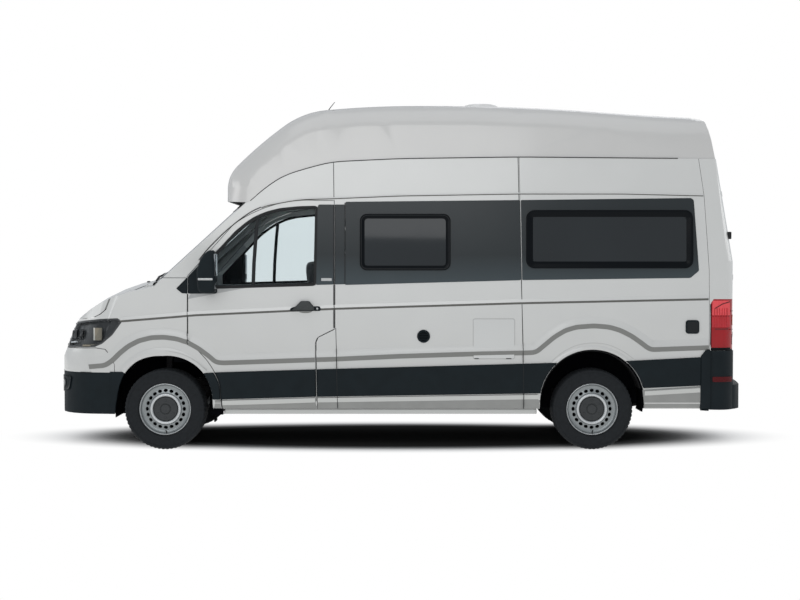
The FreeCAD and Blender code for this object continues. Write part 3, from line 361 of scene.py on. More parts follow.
GLASS_CLEAR = make_glass("glass_clear", (0.935, 0.965, 0.972), 0.05)
# windscreen: its film has a pale grey body, a painted reflection that lightens the glass
SCREEN_GLASS = make_glass("glass_screen", (0.9, 0.94, 0.95), 0.3, 0.12, (0.3, 0.34, 0.36))
GLASS_TINT = make_glass("glass_tint", (0.1, 0.115, 0.125), 0.45)
LENS = make_glass("lens", (0.95, 0.97, 0.98), 0.07)

NODE_FINISH = {"roof_cap": GELCOAT, "roof_vent": GELCOAT, "bumper_skirt": CLADDING, "rear_bumper": CLADDING,
    "grille": CLADDING, "mirror_left": CLADDING, "mirror_right": CLADDING, "headlamp_left": LAMP_SMOKE,
    "headlamp_right": LAMP_SMOKE, "tail_lamp_left": LAMP_RED, "tail_lamp_right": LAMP_RED,
    "windscreen": SCREEN_GLASS, "door_glass_left": GLASS_CLEAR, "door_glass_right": GLASS_CLEAR,
    "rear_glass_left": GLASS_TINT, "rear_glass_right": GLASS_TINT, "sliding_glass": GLASS_TINT,
    "windows_left": BAND, "window_right": BAND, "engine": ALLOY, "front_subframe": UNDERBODY,
    "rear_axle": UNDERBODY, "knuckle_left": UNDERBODY, "knuckle_right": UNDERBODY, "dash": DASH,
    "steering_wheel": DASH, "cab_seats": SEAT, "furniture": WOOD, "floor_pan": UNDERBODY}


# nodes whose inner side is lined and whose gap walls are painted dark as shade
LINED = ["side_left", "side_right", "door_left", "door_right", "sliding_door", "rear_frame", "rear_door_left",
    "rear_door_right", "roof_cap", "cab_frame", "wing_left", "wing_right", "bonnet", "bumper_front"]

# nodes whose curved faces are shaded as one
FLOWING = ["bumper_front", "bumper_skirt", "bonnet", "wing_left", "wing_right", "roof_cap", "headlamp_left",
    "headlamp_right", "tail_lamp_left", "tail_lamp_right", "rear_bumper", "cab_frame", "rear_frame",
    "steering_wheel", "windscreen", "grille"]

# angle in degrees past which an edge of these stays sharp
SPLIT_ANGLE = {"roof_cap": 52, "bumper_front": 40, "bumper_skirt": 40, "bonnet": 40, "wing_left": 34,
    "wing_right": 34}


def flow(item):
    """Smooth shading over curved faces, with the real edges kept."""
    for polygon in item.data.polygons:
        polygon.use_smooth = True
    weld = item.modifiers.new("weld", "WELD")
    weld.merge_threshold = 0.0001
    split = item.modifiers.new("split", "EDGE_SPLIT")
    split.split_angle = math.radians(SPLIT_ANGLE.get(item.name, 24))
    even = item.modifiers.new("even", "WEIGHTED_NORMAL")
    even.weight = 60


# start of a ray off its face, and the widest gap whose walls are painted dark as shade
RAY_LIFT, GAP_REACH = 0.0006, 0.016


def inner_finish(item, tree, inner):
    """Painted shade on walls where a neighbour is a few millimetres away, and a lining where a face looks
    inwards.
    """
    mesh = item.data
    first = len(mesh.materials)
    # painted shade for the gap walls
    mesh.materials.append(LEDGE_SHADE_PAINT if item.name[:4] in ("bonn", "wing") else BLACK_PARTS_AND_GAP_SHADE)
    mesh.materials.append(inner)
    mesh.materials.append(LINER_AND_SHADE)
    for polygon in mesh.polygons:
        centre = polygon.center
        if item.name.startswith("cab_frame") and centre.z < 0.95 and centre.x < -1.45:
            polygon.material_index = first + 2
            continue
        start = centre + polygon.normal * RAY_LIFT
        hit, _, _, reach = tree.ray_cast(start, polygon.normal, 6.0)
        if hit is None:
            continue
        polygon.material_index = first if reach < GAP_REACH else first + 1


def dress_nodes():
    """Every CAD node gets its finish in its own slots."""
    around = bmesh.new()
    for name in nodes:
        if "glass" not in name and name != "windscreen":
            around.from_mesh(nodes[name].data)
    tree = BVHTree.FromBMesh(around)
    around.free()
    for name, item in nodes.items():
        finish = NODE_FINISH.get(name, PAINT)
        if name.startswith("tyre"):
            finish = TYRE
        if name.startswith("rim"):
            finish = RIM
        for index in range(max(1, len(item.data.materials))):
            if index < len(item.data.materials):
                item.data.materials[index] = finish
            else:
                item.data.materials.append(finish)
        if name in FLOWING:
            flow(item)
        if name in LINED:
            inner_finish(item, tree, LINING if "wing" not in name and "bon" not in name else UNDERBODY)


dress_nodes()


# ------------------------------------------------------------------ building meshes

def make_piece(name, bm, body, material, sharp=30.0):
    """Object from a bmesh: smooth shaded with sharp edges past an angle, riding a body."""
    bmesh.ops.recalc_face_normals(bm, faces=bm.faces[:])
    mesh = bpy.data.meshes.new(name)
    bm.to_mesh(mesh)
    bm.free()
    mesh.materials.append(material)
    mesh.shade_smooth()
    mesh.set_sharp_from_angle(angle=math.radians(sharp))
    item = bpy.data.objects.new(name, mesh)
    bpy.context.scene.collection.objects.link(item)
    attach(item, body)
    return item


def lattice(bm, rows, loop=True, closed=False):
    """Quads between rows of points; loop joins each row's ends, closed joins the last row to the first."""
    grid = [[bm.verts.new(point) for point in row] for row in rows]
    width = len(rows[0])
    spans = len(grid) if closed else len(grid) - 1
    for index in range(spans):
        first, second = grid[index], grid[(index + 1) % len(grid)]
        for k in range(width if loop else width - 1):
            other = (k + 1) % width
            bm.faces.new((first[k], first[other], second[other], second[k]))
    if loop and not closed:
        bm.faces.new(grid[0])
        bm.faces.new(grid[-1])
    return grid


def lofted(name, rows, body, material, sharp=30.0, loop=True, closed=False):
    """Piece made of one lattice of rows."""
    bm = bmesh.new()
    lattice(bm, rows, loop, closed)
    return make_piece(name, bm, body, material, sharp)


def resample(path, step, closed=False):
    """Points along a flat path, no further apart than step."""
    path = [Vector(point) for point in path]
    ends = path[1:] + path[:1] if closed else path[1:]
    out = [] if closed else [path[0]]
    for start, end in zip(path, ends):
        count = max(1, math.ceil((end - start).length / step))
        out += [start.lerp(end, k / count) for k in range(1, count + 1)]
    return out


# most of a run that a rounded corner may take at one end
CORNER_SHARE = 0.48


def softened(path, radius, closed=False, count=5):
    """A flat path with its corners rounded."""
    path = [Vector(point) for point in path]
    out = []
    for index, corner in enumerate(path):
        if not closed and index in (0, len(path) - 1):
            out.append(corner)
            continue
        before = path[index - 1] - corner
        after = path[(index + 1) % len(path)] - corner
        start = corner + before.normalized() * min(radius, before.length * CORNER_SHARE)
        end = corner + after.normalized() * min(radius, after.length * CORNER_SHARE)
        for k in range(count + 1):
            part = k / count
            out.append(start * (1 - part) ** 2 + corner * 2 * part * (1 - part) + end * part ** 2)
    return out


def round_box(x0, x1, z0, z1, radius, count=6):
    """Flat outline of a rectangle with round corners."""
    corners = [(x1 - radius, z1 - radius, 0), (x0 + radius, z1 - radius, 90), (x0 + radius, z0 + radius, 180),
        (x1 - radius, z0 + radius, 270)]
    out = []
    for x, z, start in corners:
        for k in range(count + 1):
            turn = math.radians(start + 90 * k / count)
            out.append((x + radius * math.cos(turn), z + radius * math.sin(turn)))
    return out


def circle(x, z, radius, count):
    """Flat outline of a circle."""
    turns = [math.radians(360.0 / count * k) for k in range(count)]
    return [(x + radius * math.cos(turn), z + radius * math.sin(turn)) for turn in turns]


def ridge(foot, base, crown, high):
    """Profile of an even ridge: half width and height at its foot, then at its crown."""
    return [(foot, base), (crown, high), (-crown, high), (-foot, base)]


# ------------------------------------------------------------------ the skin of the body's sides

SKIN_NODES = ["side_left", "door_left", "wing_left", "rear_frame", "bumper_front", "bumper_skirt",
    "rear_bumper", "rear_door_left", "headlamp_left", "tail_lamp_left", "bonnet", "roof_cap", "grille",
    "cab_frame"]


def tree_of(*names):
    """Ray-casting tree over some CAD nodes."""
    joined = bmesh.new()
    for name in names:
        joined.from_mesh(nodes[name].data)
    tree = BVHTree.FromBMesh(joined)
    joined.free()
    return tree


# steps of the side's section, and the half width where no ray meets the body
SECTION_COUNT = 106
HALF_WIDTH = 0.9


class Skin:
    """Half width of the body at a place seen from the side."""

    def __init__(self):
        self.tree = tree_of(*SKIN_NODES)
        self.plain_x = 0.85
        self.straight = (-1.8, 2.48)
        self.low = 0.36
        self.step = 0.02
        self.section = [self.ray(self.plain_x, self.low + k * self.step) for k in range(SECTION_COUNT)]
        self.known = {}

    def ray(self, x, z):
        """Half width where a ray from the left meets the skin, or None."""
        hit = self.tree.ray_cast(Vector((x, -2.0, z)), Vector((0, 1, 0)), 1.9)[0]
        return -hit.y if hit else None

    def half_width(self, x, z):
        """Half width at a place; along the straight part it depends on height alone."""
        key = (round(x, 4), round(z, 4))
        if key not in self.known:
            self.known[key] = self.measure(x, z)
        return self.known[key]

    def measure(self, x, z):
        if self.straight[0] < x < self.straight[1]:
            place = (max(z, self.low) - self.low) / self.step
            index = min(int(place), len(self.section) - 2)
            part = min(place - index, 1.0)
            return self.section[index] * (1 - part) + self.section[index + 1] * part
        found = [self.ray(x + shift, z) for shift in (0.0, -0.008, 0.008)]
        found = [value for value in found if value]
        return max(found) if found else HALF_WIDTH

    def point(self, x, z, side, proud=0.0):
        """Point on the skin of one side, moved outwards by proud."""
        h = 0.006
        along = (self.half_width(x + h, z) - self.half_width(x - h, z)) / (2 * h)
        up = (self.half_width(x, z + h) - self.half_width(x, z - h)) / (2 * h)
        normal = Vector((-along, 1.0, -up)).normalized()
        place = Vector((x, self.half_width(x, z), z)) + normal * proud
        return Vector((place.x, side * place.y, place.z))


skin = Skin()


def strip(name, path, profile, side, body, material, step=0.05, closed=False, sharp=30.0, on=skin):
    """Moulding along a path on a surface; profile is (across, proud), across upwards or outwards."""
    points = resample(path, step, closed)
    rows = []
    count = len(points)
    area = sum(points[k - 1].x * points[k].y - points[k].x * points[k - 1].y for k in range(count))
    for index, point in enumerate(points):
        if closed:
            ahead = points[(index + 1) % count] - points[index - 1]
        else:
            ahead = points[min(index + 1, count - 1)] - points[max(index - 1, 0)]
        across = Vector((ahead.y, -ahead.x)).normalized()
        if (closed and area < 0) or (not closed and across.y < 0):
            across = -across
        rows.append([on.point(point.x + across.x * u, point.y + across.y * u, side, h) for u, h in profile])
    return lofted(name, rows, body, material, sharp, True, closed)


def plate(name, outline, side, body, material, proud, depth, edge=0.003, cell=(0.3, 0.07), on=skin):
    """Thin cover that follows a surface inside an outline, with a softened border."""
    bm = bmesh.new()
    bm.faces.new([bm.verts.new((point[0], 0.0, point[1])) for point in outline])
    for axis, pitch in ((0, cell[0]), (2, cell[1])):
        values = [vert.co[axis] for vert in bm.verts]
        normal = Vector((1, 0, 0)) if axis == 0 else Vector((0, 0, 1))
        for k in range(math.ceil(min(values) / pitch), math.floor(max(values) / pitch) + 1):
            everything = bm.verts[:] + bm.edges[:] + bm.faces[:]
            bmesh.ops.bisect_plane(bm, geom=everything, plane_co=normal * (k * pitch), plane_no=normal)
    if edge:
        bmesh.ops.inset_region(bm, faces=bm.faces[:], thickness=edge, use_even_offset=True, use_boundary=True)
    rim = {vert for e in bm.edges if e.is_boundary for vert in e.verts}
    height = {vert: proud - edge if vert in rim else proud for vert in bm.verts}
    made = bmesh.ops.extrude_edge_only(bm, edges=[e for e in bm.edges if e.is_boundary])
    for vert in made["geom"]:
        if isinstance(vert, bmesh.types.BMVert):
            height[vert] = -depth
    for vert in bm.verts:
        vert.co = on.point(vert.co.x, vert.co.z, side, height.get(vert, proud))
    return make_piece(name, bm, body, material)


def lathe(bm, profile, segments, centre, side, start=0.0, turn=2 * math.pi):
    """Surface turned about a line along Y; profile is (radius, outwards)."""
    rows = []
    for k in range(segments if turn >= 2 * math.pi else segments + 1):
        angle = start + turn * k / segments
        rows.append([(centre[0] + r * math.cos(angle), centre[1] + side * out,
            centre[2] + r * math.sin(angle)) for r, out in profile])
    return lattice(bm, rows, False, turn >= 2 * math.pi)


def slab(name, low, high, body, material, bevel=0.004, segments=2, slot=None):
    """Box with rounded edges between two corners."""
    bm = bmesh.new()
    made = bmesh.ops.create_cube(bm, size=1.0)
    size = Vector(high) - Vector(low)
    middle = (Vector(high) + Vector(low)) / 2
    for vert in made["verts"]:
        vert.co = Vector([vert.co[k] * size[k] + middle[k] for k in range(3)])
    bmesh.ops.bevel(bm, geom=bm.edges[:], offset=min(bevel, min(size) * 0.45), segments=segments,
        affect="EDGES", profile=0.5)
    return make_piece(name, bm, body, material, 40.0)


def side_slab(name, x, y, z, side, *rest):
    """Slab on one side of the middle plane, between two distances from it."""
    low, high = sorted((side * y[0], side * y[1]))
    return slab(name, (x[0], low, z[0]), (x[1], high, z[1]), *rest)


def swept(bm, path, radius, sides=10):
    """Round bar along points in space."""
    path = [Vector(point) for point in path]
    rows = []
    for index, point in enumerate(path):
        ahead = (path[min(index + 1, len(path) - 1)] - path[max(index - 1, 0)]).normalized()
        helper = Vector((0, 0, 1)) if abs(ahead.z) < 0.9 else Vector((1, 0, 0))
        one = ahead.cross(helper).normalized()
        two = ahead.cross(one).normalized()
        thick = radius[index] if isinstance(radius, (list, tuple)) else radius
        rows.append([point + (one * math.cos(2 * math.pi * k / sides)
            + two * math.sin(2 * math.pi * k / sides)) * thick for k in range(sides)])
    lattice(bm, rows, True, False)


SIDES = {"left": LEFT, "right": RIGHT}
DOOR_BODY = {"left": "door_left_body", "right": "door_right_body"}


def body_of(body, where):
    """Body that a piece rides on; "door" stands for the cab door of its side."""
    return DOOR_BODY[where] if body == "door" else body


# ------------------------------------------------------------------ creases and swage of the sides

DOOR_FRONT, DOOR_REAR = -1.8005, -0.5615
# upper crease from the lamp to the tail: X, Z
CREASE = [(-2.385, 1.094), (-1.742, 1.148), (-0.552, 1.203), (1.011, 1.25), (2.618, 1.284)]
# swage from the bumper over both wheel arches: X, Z
SWAGE_FRONT = [(-2.66, 0.704), (-2.521, 0.717), (-2.457, 0.758), (-2.392, 0.822), (-2.318, 0.881),
    (-2.226, 0.929), (-2.116, 0.957), (-2.005, 0.962), (-1.894, 0.948), (-1.8075, 0.92)]
SWAGE_DOOR = [(-1.795, 0.915), (-1.71, 0.868), (-1.618, 0.8), (-1.562, 0.75), (-1.5, 0.744), (-0.722, 0.77)]
SWAGE_REAR = [(-0.708, 0.771), (-0.552, 0.776), (0.0, 0.801), (0.617, 0.82), (1.122, 0.831), (1.163, 0.842),
    (1.234, 0.902), (1.309, 0.964), (1.402, 1.02), (1.496, 1.048), (1.646, 1.059), (1.776, 1.048), (1.87, 1.02),
    (1.963, 0.973), (2.038, 0.921), (2.104, 0.87), (2.14, 0.857), (2.618, 0.874)]
CREASE_PROFILE = [(0.034, 0.0004), (0.0055, 0.0052), (-0.0045, -0.0025), (-0.0075, -0.0025), (-0.0075, -0.004),
    (0.034, -0.003)]
CREASE_LINE = [(0.0075, 0.0058), (-0.0095, 0.001), (-0.0115, -0.002), (0.004, -0.002)]
SWAGE_PROFILE = [(0.075, 0.0004), (0.045, 0.003), (0.019, 0.0085), (0.015, 0.0085), (-0.021, 0.0006),
    (-0.021, -0.004), (0.075, -0.004)]
SWAGE_LEDGE = [(0.019, 0.0094), (-0.0215, 0.0016), (-0.0225, -0.002), (0.017, -0.002)]


def part_of(path, low, high):
    """Stretch of a path between two X values."""
    out = []
    for start, end in zip(path, path[1:]):
        a, b = max(start[0], low), min(end[0], high)
        if a >= b:
            continue
        for x in (a, b):
            share = (x - start[0]) / (end[0] - start[0])
            spot = (x, start[1] + (end[1] - start[1]) * share)
            if not out or math.dist(out[-1], spot) > 1e-6:
                out.append(spot)
    return out


for where, side in SIDES.items():
    stretches = [("wing", SHELL, part_of(CREASE, -3.0, DOOR_FRONT - 0.006)),
        ("door", DOOR_BODY[where], part_of(CREASE, DOOR_FRONT, DOOR_REAR))]
    if where == "left":
        stretches.append(("side", SHELL, part_of(CREASE, DOOR_REAR + 0.007, 2.616)))
    else:
        stretches.append(("slide_front", SHELL, part_of(CREASE, -0.548, 0.699)))
        stretches.append(("side", SHELL, part_of(CREASE, 0.707, 2.616)))
    for label, body, path in stretches:
        strip(f"crease_{label}_{where}", path, CREASE_PROFILE, side, body, PAINT)
        strip(f"crease_line_{label}_{where}", path, CREASE_LINE, side, body, SHADE_PAINT)
    swages = [("wing", SHELL, SWAGE_FRONT), ("door", DOOR_BODY[where], SWAGE_DOOR)]
    rear_path = softened(SWAGE_REAR, 0.03)
    if where == "left":
        swages.append(("side", SHELL, part_of(rear_path, -0.708, 2.618)))
    else:
        swages.append(("slide", SHELL, part_of(rear_path, -0.548, 0.699)))
        swages.append(("side", SHELL, part_of(rear_path, 0.707, 2.618)))
    for label, body, path in swages:
        path = softened(path, 0.03)
        strip(f"swage_{label}_{where}", path, SWAGE_PROFILE, side, body, PAINT, 0.04)
        # the ledge under each swage is painted shade
        strip(f"swage_ledge_{label}_{where}", path, SWAGE_LEDGE, side, body, LEDGE_SHADE_PAINT, 0.04)

# ------------------------------------------------------------------ dark lower cladding

FRONT_LIP = (FRONT_HUB[0] - 0.02, 0.408, 0.43)
REAR_LIP = (REAR_HUB[0] - 0.004, 0.412, 0.445)


def lip_points(lip, start, end, count, grow=0.0):
    """Points on a wheel arch between two angles in degrees."""
    x, z, radius = lip
    turns = [math.radians(start + (end - start) * k / count) for k in range(count + 1)]
    return [(x + (radius + grow) * math.cos(turn), z + (radius + grow) * math.sin(turn)) for turn in turns]


CLADDING_PIECES = {
    "wing": (SHELL, lip_points(FRONT_LIP, 3, 35, 6, 0.002)
        + [(-1.583, 0.661), (-1.556, 0.61), (-1.534, 0.553), (-1.527, 0.43)]),
    "door": ("door", [(-1.521, 0.432), (-0.716, 0.455), (-0.716, 0.688), (-1.571, 0.662), (-1.545, 0.612),
        (-1.527, 0.56)]),
    "side": (SHELL, [(-0.705, 0.455), (1.196, 0.484)] + lip_points(REAR_LIP, 170, 132, 6, 0.002)
        + [(1.011, 0.735), (-0.705, 0.688)]),
    "tail": (SHELL, [(2.553, 0.55), (2.553, 0.791), (1.982, 0.762)]
        + lip_points(REAR_LIP, 51, 15, 6, 0.002)),
    "corner": (SHELL, [(2.5525, 0.35), (2.5525, 0.8), (2.596, 0.855), (2.629, 0.855), (2.629, 0.35)])}
# rear edge of the bumper's end beside the front wheel: height, X
BUMPER_END = [(0.3, -2.437), (0.35, -2.432), (0.4, -2.425), (0.48, -2.411), (0.545, -2.397), (0.61, -2.372),
    (0.662, -2.345)]
for where, side in SIDES.items():
    for label, (body, outline) in CLADDING_PIECES.items():
        ride = body_of(body, where)
        plate(f"cladding_{label}_{where}", softened(outline, 0.006, True, 2), side, ride, CLADDING, 0.016,
            0.004, 0.006)
    rows = []
    for z, x in BUMPER_END:
        ahead = skin.half_width(-2.478, z)
        behind = max([skin.half_width(-2.44 + 0.012 * k, max(z, 0.54)) for k in range(8)]) + 0.004
        behind = min(max(behind, ahead + 0.004), ahead + 0.03)
        rows.append([Vector((-2.48, side * (ahead - 0.002), z)), Vector((-2.476, side * (ahead + 0.003), z)),
            Vector((-2.442, side * ((ahead + behind) / 2 + 0.003), z)), Vector((x - 0.003, side * behind, z)),
            Vector((x, side * (behind - 0.004), z)), Vector((x - 0.004, side * (behind - 0.045), z))])
    lofted(f"bumper_end_{where}", rows, SHELL, CLADDING, loop=False)

# ------------------------------------------------------------------ window band

BAND_LEFT = {
    "door": ("door", [(-0.712, 1.404), (-0.5608, 1.408), (-0.5608, 2.086), (-0.69, 2.086), (-0.7, 2.06)]),
    "post": (SHELL, [(-0.5526, 1.408), (-0.4665, 1.41), (-0.4665, 2.086), (-0.5526, 2.086)]),
    "mid": (SHELL, [(-0.4664, 1.404), (1.018, 1.444), (1.03, 1.455), (1.018, 2.124), (-0.462, 2.109)]),
    "rear": (SHELL, [(1.036, 1.445), (2.462, 1.463), (2.535, 1.524), (2.492, 2.123), (2.47, 2.141),
        (1.024, 2.124)])}
BAND_RIGHT = {
    "door": BAND_LEFT["door"],
    "slide": (SHELL, [(-0.54, 1.404), (0.69, 1.438), (0.69, 2.118), (-0.54, 2.109)]),
    "mid": (SHELL, [(0.712, 1.438), (1.018, 1.444), (1.03, 1.455), (1.018, 2.124), (0.712, 2.119)]),
    "rear": BAND_LEFT["rear"]}
for where, side in SIDES.items():
    for label, (body, outline) in (BAND_LEFT if where == "left" else BAND_RIGHT).items():
        ride = body_of(body, where)
        plate(f"band_{label}_{where}", softened(outline, 0.01, True, 3), side, ride, BAND, 0.003, 0.004, 0.0015)
    if where == "left":
        strip("band_seam_left", [(-0.4668, 1.412), (-0.4668, 2.1)], ridge(0.0034, 0.0, 0.003, 0.0054), side,
            SHELL, BLACK_PARTS_AND_GAP_SHADE)

# ------------------------------------------------------------------ living space windows

# X0, X1, Z0, Z1, corner radius, frame width
WINDOWS = {
    "mid_left": (LEFT, -0.34, 0.428, 1.528, 2.006, 0.06, 0.04),
    "rear_left": (LEFT, 1.069, 2.485, 1.545, 2.038, 0.07, 0.058),
    "rear_right": (RIGHT, 1.069, 2.485, 1.545, 2.038, 0.07, 0.058)}
living = {}
for label, (side, x0, x1, z0, z1, radius, border) in WINDOWS.items():
    outline = round_box(x0, x1, z0, z1, radius)
    profile = [(0.0, -0.004), (0.0, 0.012), (-0.005, 0.018), (-border * 0.55, 0.017), (-border + 0.004, 0.008),
        (-border, 0.006), (-border, -0.02), (-0.004, -0.02)]
    frame_piece = strip(f"window_frame_{label}", outline, profile, side, SHELL, FRAME_BLACK, 0.08, True)
    inner = round_box(x0 + border - 0.003, x1 - border + 0.003, z0 + border - 0.003, z1 - border + 0.003,
        radius - border * 0.6)
    living[label] = [frame_piece, plate(f"window_pane_{label}", inner, side, SHELL, PANE_DARK, 0.006, 0.006,
        0.0015)]
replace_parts(living["mid_left"][0], "windows_left")
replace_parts(living["rear_left"][0], "windows_left")
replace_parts(living["rear_right"][0], "window_right")

# raised rim of the middle window's blind
side, x0, x1, z0, z1, radius, border = WINDOWS["mid_left"]
strip("window_bead_mid_left", round_box(x0 + 0.012, x1 - 0.012, z0 + 0.012, z1 - 0.012, 0.05),
    [(0.004, 0.017), (0.002, 0.02), (-0.002, 0.02), (-0.004, 0.017), (0.0, 0.015)], side, SHELL, TRIM, 0.08,
    True)

# ------------------------------------------------------------------ wheels

HOLES = 20
SECTOR = 2 * math.pi / HOLES
SPLIT = 4
# painted highlights: light rings on the rim's crowns, over its lip and round its raised dish
LIP_HIGHLIGHT = [(0.2207, 0.0925), (0.2207, 0.096), (0.2187, 0.0992), (0.215, 0.0998), (0.2118, 0.097),
    (0.209, 0.0875)]
DISH_HIGHLIGHT = [(0.1352, 0.0742), (0.1312, 0.0805), (0.1266, 0.0842), (0.122, 0.0852), (0.1168, 0.0845),
    (0.1108, 0.0806), (0.1066, 0.0728)]
# radius, outwards, from the tread's middle to the bead: outer half of the tyre's section
TYRE_HALF = [(0.344, 0.0), (0.344, 0.088), (0.3425, 0.098), (0.3385, 0.107), (0.332, 0.1135), (0.325, 0.1165),
    (0.316, 0.1172), (0.3155, 0.115), (0.305, 0.1168), (0.285, 0.1172), (0.262, 0.1168), (0.24, 0.115),
    (0.232, 0.115), (0.228, 0.11), (0.2225, 0.1), (0.2215, 0.09)]
RIM_LIP = [(0.2205, 0.08), (0.2205, 0.0955), (0.2185, 0.0985), (0.215, 0.099), (0.2125, 0.0965), (0.211, 0.088),
    (0.209, 0.078), (0.204, 0.068), (0.196, 0.0615), (0.178, 0.0575)]
HOLE_BAND = (0.178, 0.0575, 0.138, 0.068)
RIM_DISH = [(0.138, 0.068), (0.135, 0.074), (0.131, 0.08), (0.1265, 0.0835), (0.122, 0.0845), (0.117, 0.0838),
    (0.111, 0.08), (0.1065, 0.072), (0.104, 0.064), (0.103, 0.056)]
HUB_CAP = [(0.1035, 0.058), (0.1025, 0.07), (0.099, 0.0745), (0.09, 0.0765), (0.07, 0.078), (0.048, 0.0785),
    (0.045, 0.076), (0.042, 0.076), (0.04, 0.081), (0.036, 0.085), (0.02, 0.0865), (0.0, 0.0868)]
RIM_BACK = [(0.2205, 0.08), (0.2205, -0.083), (0.212, -0.085), (0.208, -0.078), (0.198, -0.07), (0.196, 0.015),
    (0.19, 0.028), (0.15, 0.028), (0.103, 0.028)]


RIM_SHADOW = [(0.192, 0.046), (0.188, 0.034), (0.108, 0.034), (0.104, 0.05)]


def turned(name, profiles, centre, side, body, finish, slot=None):
    """Piece made of turned surfaces, each given as profile and segments."""
    bm = bmesh.new()
    for profile, segments in profiles:
        lathe(bm, profile, segments, centre, side)
    return make_piece(name, bm, body, finish, 50.0)


# size of a rim hole and the radius of the ring of holes
HOLE_HALF_WIDTH, HOLE_HALF_HEIGHT, HOLE_RING = 0.0182, 0.0145, 0.158


def rim_mesh(centre, side):
    """Pressed steel rim with a ring of oval holes."""
    bm = bmesh.new()
    segments = HOLES * SPLIT
    start = SECTOR / 2
    lathe(bm, RIM_LIP, segments, centre, side, start)
    lathe(bm, RIM_DISH, segments, centre, side, start)
    lathe(bm, RIM_BACK, segments, centre, side, start)
    r_out, y_out, r_in, y_in = HOLE_BAND
    around = 16
    for sector in range(HOLES):
        middle = start + SECTOR * (sector + 0.5)
        outer = []
        for k in range(around):
            edge, along = divmod(k, 4)
            t = along / 4
            a, r = [(t - 0.5, 0.0), (0.5, t), (0.5 - t, 1.0), (-0.5, 1.0 - t)][edge]
            outer.append((a * SECTOR, r))
        rings = []
        for scale, sink in ((None, 0.0), (1.0, 0.0), (0.9, -0.003), (0.88, -0.016)):
            ring = []
            for k in range(around):
                a, r = outer[k]
                if scale is not None:
                    turn = math.radians(225 + 360 * k / around)
                    a = math.cos(turn) * HOLE_HALF_WIDTH * scale / HOLE_RING
                    r = 0.5 + math.sin(turn) * HOLE_HALF_HEIGHT * scale / (r_out - r_in)
                radius = r_out + (r_in - r_out) * (1.0 - r)
                out = y_out + (y_in - y_out) * (1.0 - r) + sink
                angle = middle + a
                ring.append(bm.verts.new((centre[0] + radius * math.cos(angle), centre[1] + side * out,
                    centre[2] + radius * math.sin(angle))))
            rings.append(ring)
        for one, two in zip(rings, rings[1:]):
            for k in range(around):
                bm.faces.new((one[k], one[(k + 1) % around], two[(k + 1) % around], two[k]))
    bmesh.ops.remove_doubles(bm, verts=bm.verts[:], dist=0.0003)
    return bm


TREAD_RADIUS, GROOVE_RADIUS = 0.344, 0.337
# middles of the grooves round the tread, from the middle of the tyre
GROOVES = (0.016, 0.05)
TYRE_SEGMENTS = 180
# the notches between the shoulder's blocks: least radius, reach outwards, depth
NOTCH_RADIUS, NOTCH_FROM, NOTCH_TO, NOTCH_DEPTH = 0.336, 0.06, 0.112, 0.006


def tyre_mesh(centre, side):
    """Tyre with shoulder blocks, four grooves round its tread, and ribs on its sidewall."""
    bm = bmesh.new()
    tread = []
    for y in GROOVES:
        tread += [(TREAD_RADIUS, y - 0.0045), (GROOVE_RADIUS, y - 0.0035), (GROOVE_RADIUS, y + 0.0035),
            (TREAD_RADIUS, y + 0.0045)]
    outer = [(TREAD_RADIUS, 0.0)] + tread + TYRE_HALF[1:]
    profile = [(r, -y) for r, y in reversed(outer)] + outer[1:]
    hub = Vector(centre)
    # every third row is notched
    for row in lathe(bm, profile, TYRE_SEGMENTS, centre, side)[::3]:
        for vert in row:
            arm = vert.co - hub
            radius = math.hypot(arm.x, arm.z)
            if radius > NOTCH_RADIUS and NOTCH_FROM < abs(arm.y) < NOTCH_TO:
                scale = (radius - NOTCH_DEPTH) / radius
                vert.co = hub + Vector((arm.x * scale, arm.y, arm.z * scale))
    return bm


TRACK = (edge_of("tyre_front_left", 1, 0) + edge_of("tyre_front_left", 1, 1)) / 2
for where, side in (("front_left", LEFT), ("front_right", RIGHT), ("rear_left", LEFT), ("rear_right", RIGHT)):
    hub = FRONT_HUB if where.startswith("front") else REAR_HUB
    centre = (hub[0], side * abs(TRACK), hub[2])
    body = "wheel_" + where
    rim = make_piece("steel_rim_" + where, rim_mesh(centre, side), body, RIM, 35.0)
    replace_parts(rim, "rim_" + where)
    turned("rim_rings_" + where, [(LIP_HIGHLIGHT, 80), (DISH_HIGHLIGHT, 80)], centre, side, body, RIM_HIGHLIGHT, "rim")
    turned("rim_shadow_" + where, [(RIM_SHADOW, 60)], centre, side, body, LINER_AND_SHADE)
    tyre = make_piece("road_tyre_" + where, tyre_mesh(centre, side), body, TYRE, 35.0)
    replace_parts(tyre, "tyre_" + where)
    bm = bmesh.new()
    lathe(bm, HUB_CAP, 64, centre, side)
    for k in range(6):
        angle = math.radians(60 * k + 30)
        spot = (centre[0] + 0.074 * math.cos(angle), centre[1] + side * 0.0745,
            centre[2] + 0.074 * math.sin(angle))
        lathe(bm, [(0.0095, 0.0), (0.009, 0.006), (0.006, 0.0075), (0.0, 0.0078)], 12, spot, side)
    bmesh.ops.remove_doubles(bm, verts=bm.verts[:], dist=0.0002)
    make_piece("hub_cap_" + where, bm, body, HUB_GREY, 30.0)
    bm = bmesh.new()
    base = Vector((centre[0] + 0.006, centre[1] + side * 0.061, centre[2] - 0.196))
    swept(bm, [base, base + Vector((0, side * 0.012, -0.002)), base + Vector((0, side * 0.03, 0.01)),
        base + Vector((0, side * 0.038, 0.016))], [0.006, 0.0045, 0.004, 0.0048], 10)
    make_piece("valve_" + where, bm, body, TRIM)

# ------------------------------------------------------------------ wheel arches: lips, folds, bay panels, liners, walls

INNER_Y = {"front": 0.59, "rear": 0.716}
LIP_PROFILE = [(0.034, 0.0005), (0.03, 0.003), (0.006, 0.0075), (0.0, 0.0065), (-0.003, -0.002),
    (-0.003, -0.03), (0.006, -0.03), (0.034, -0.002)]
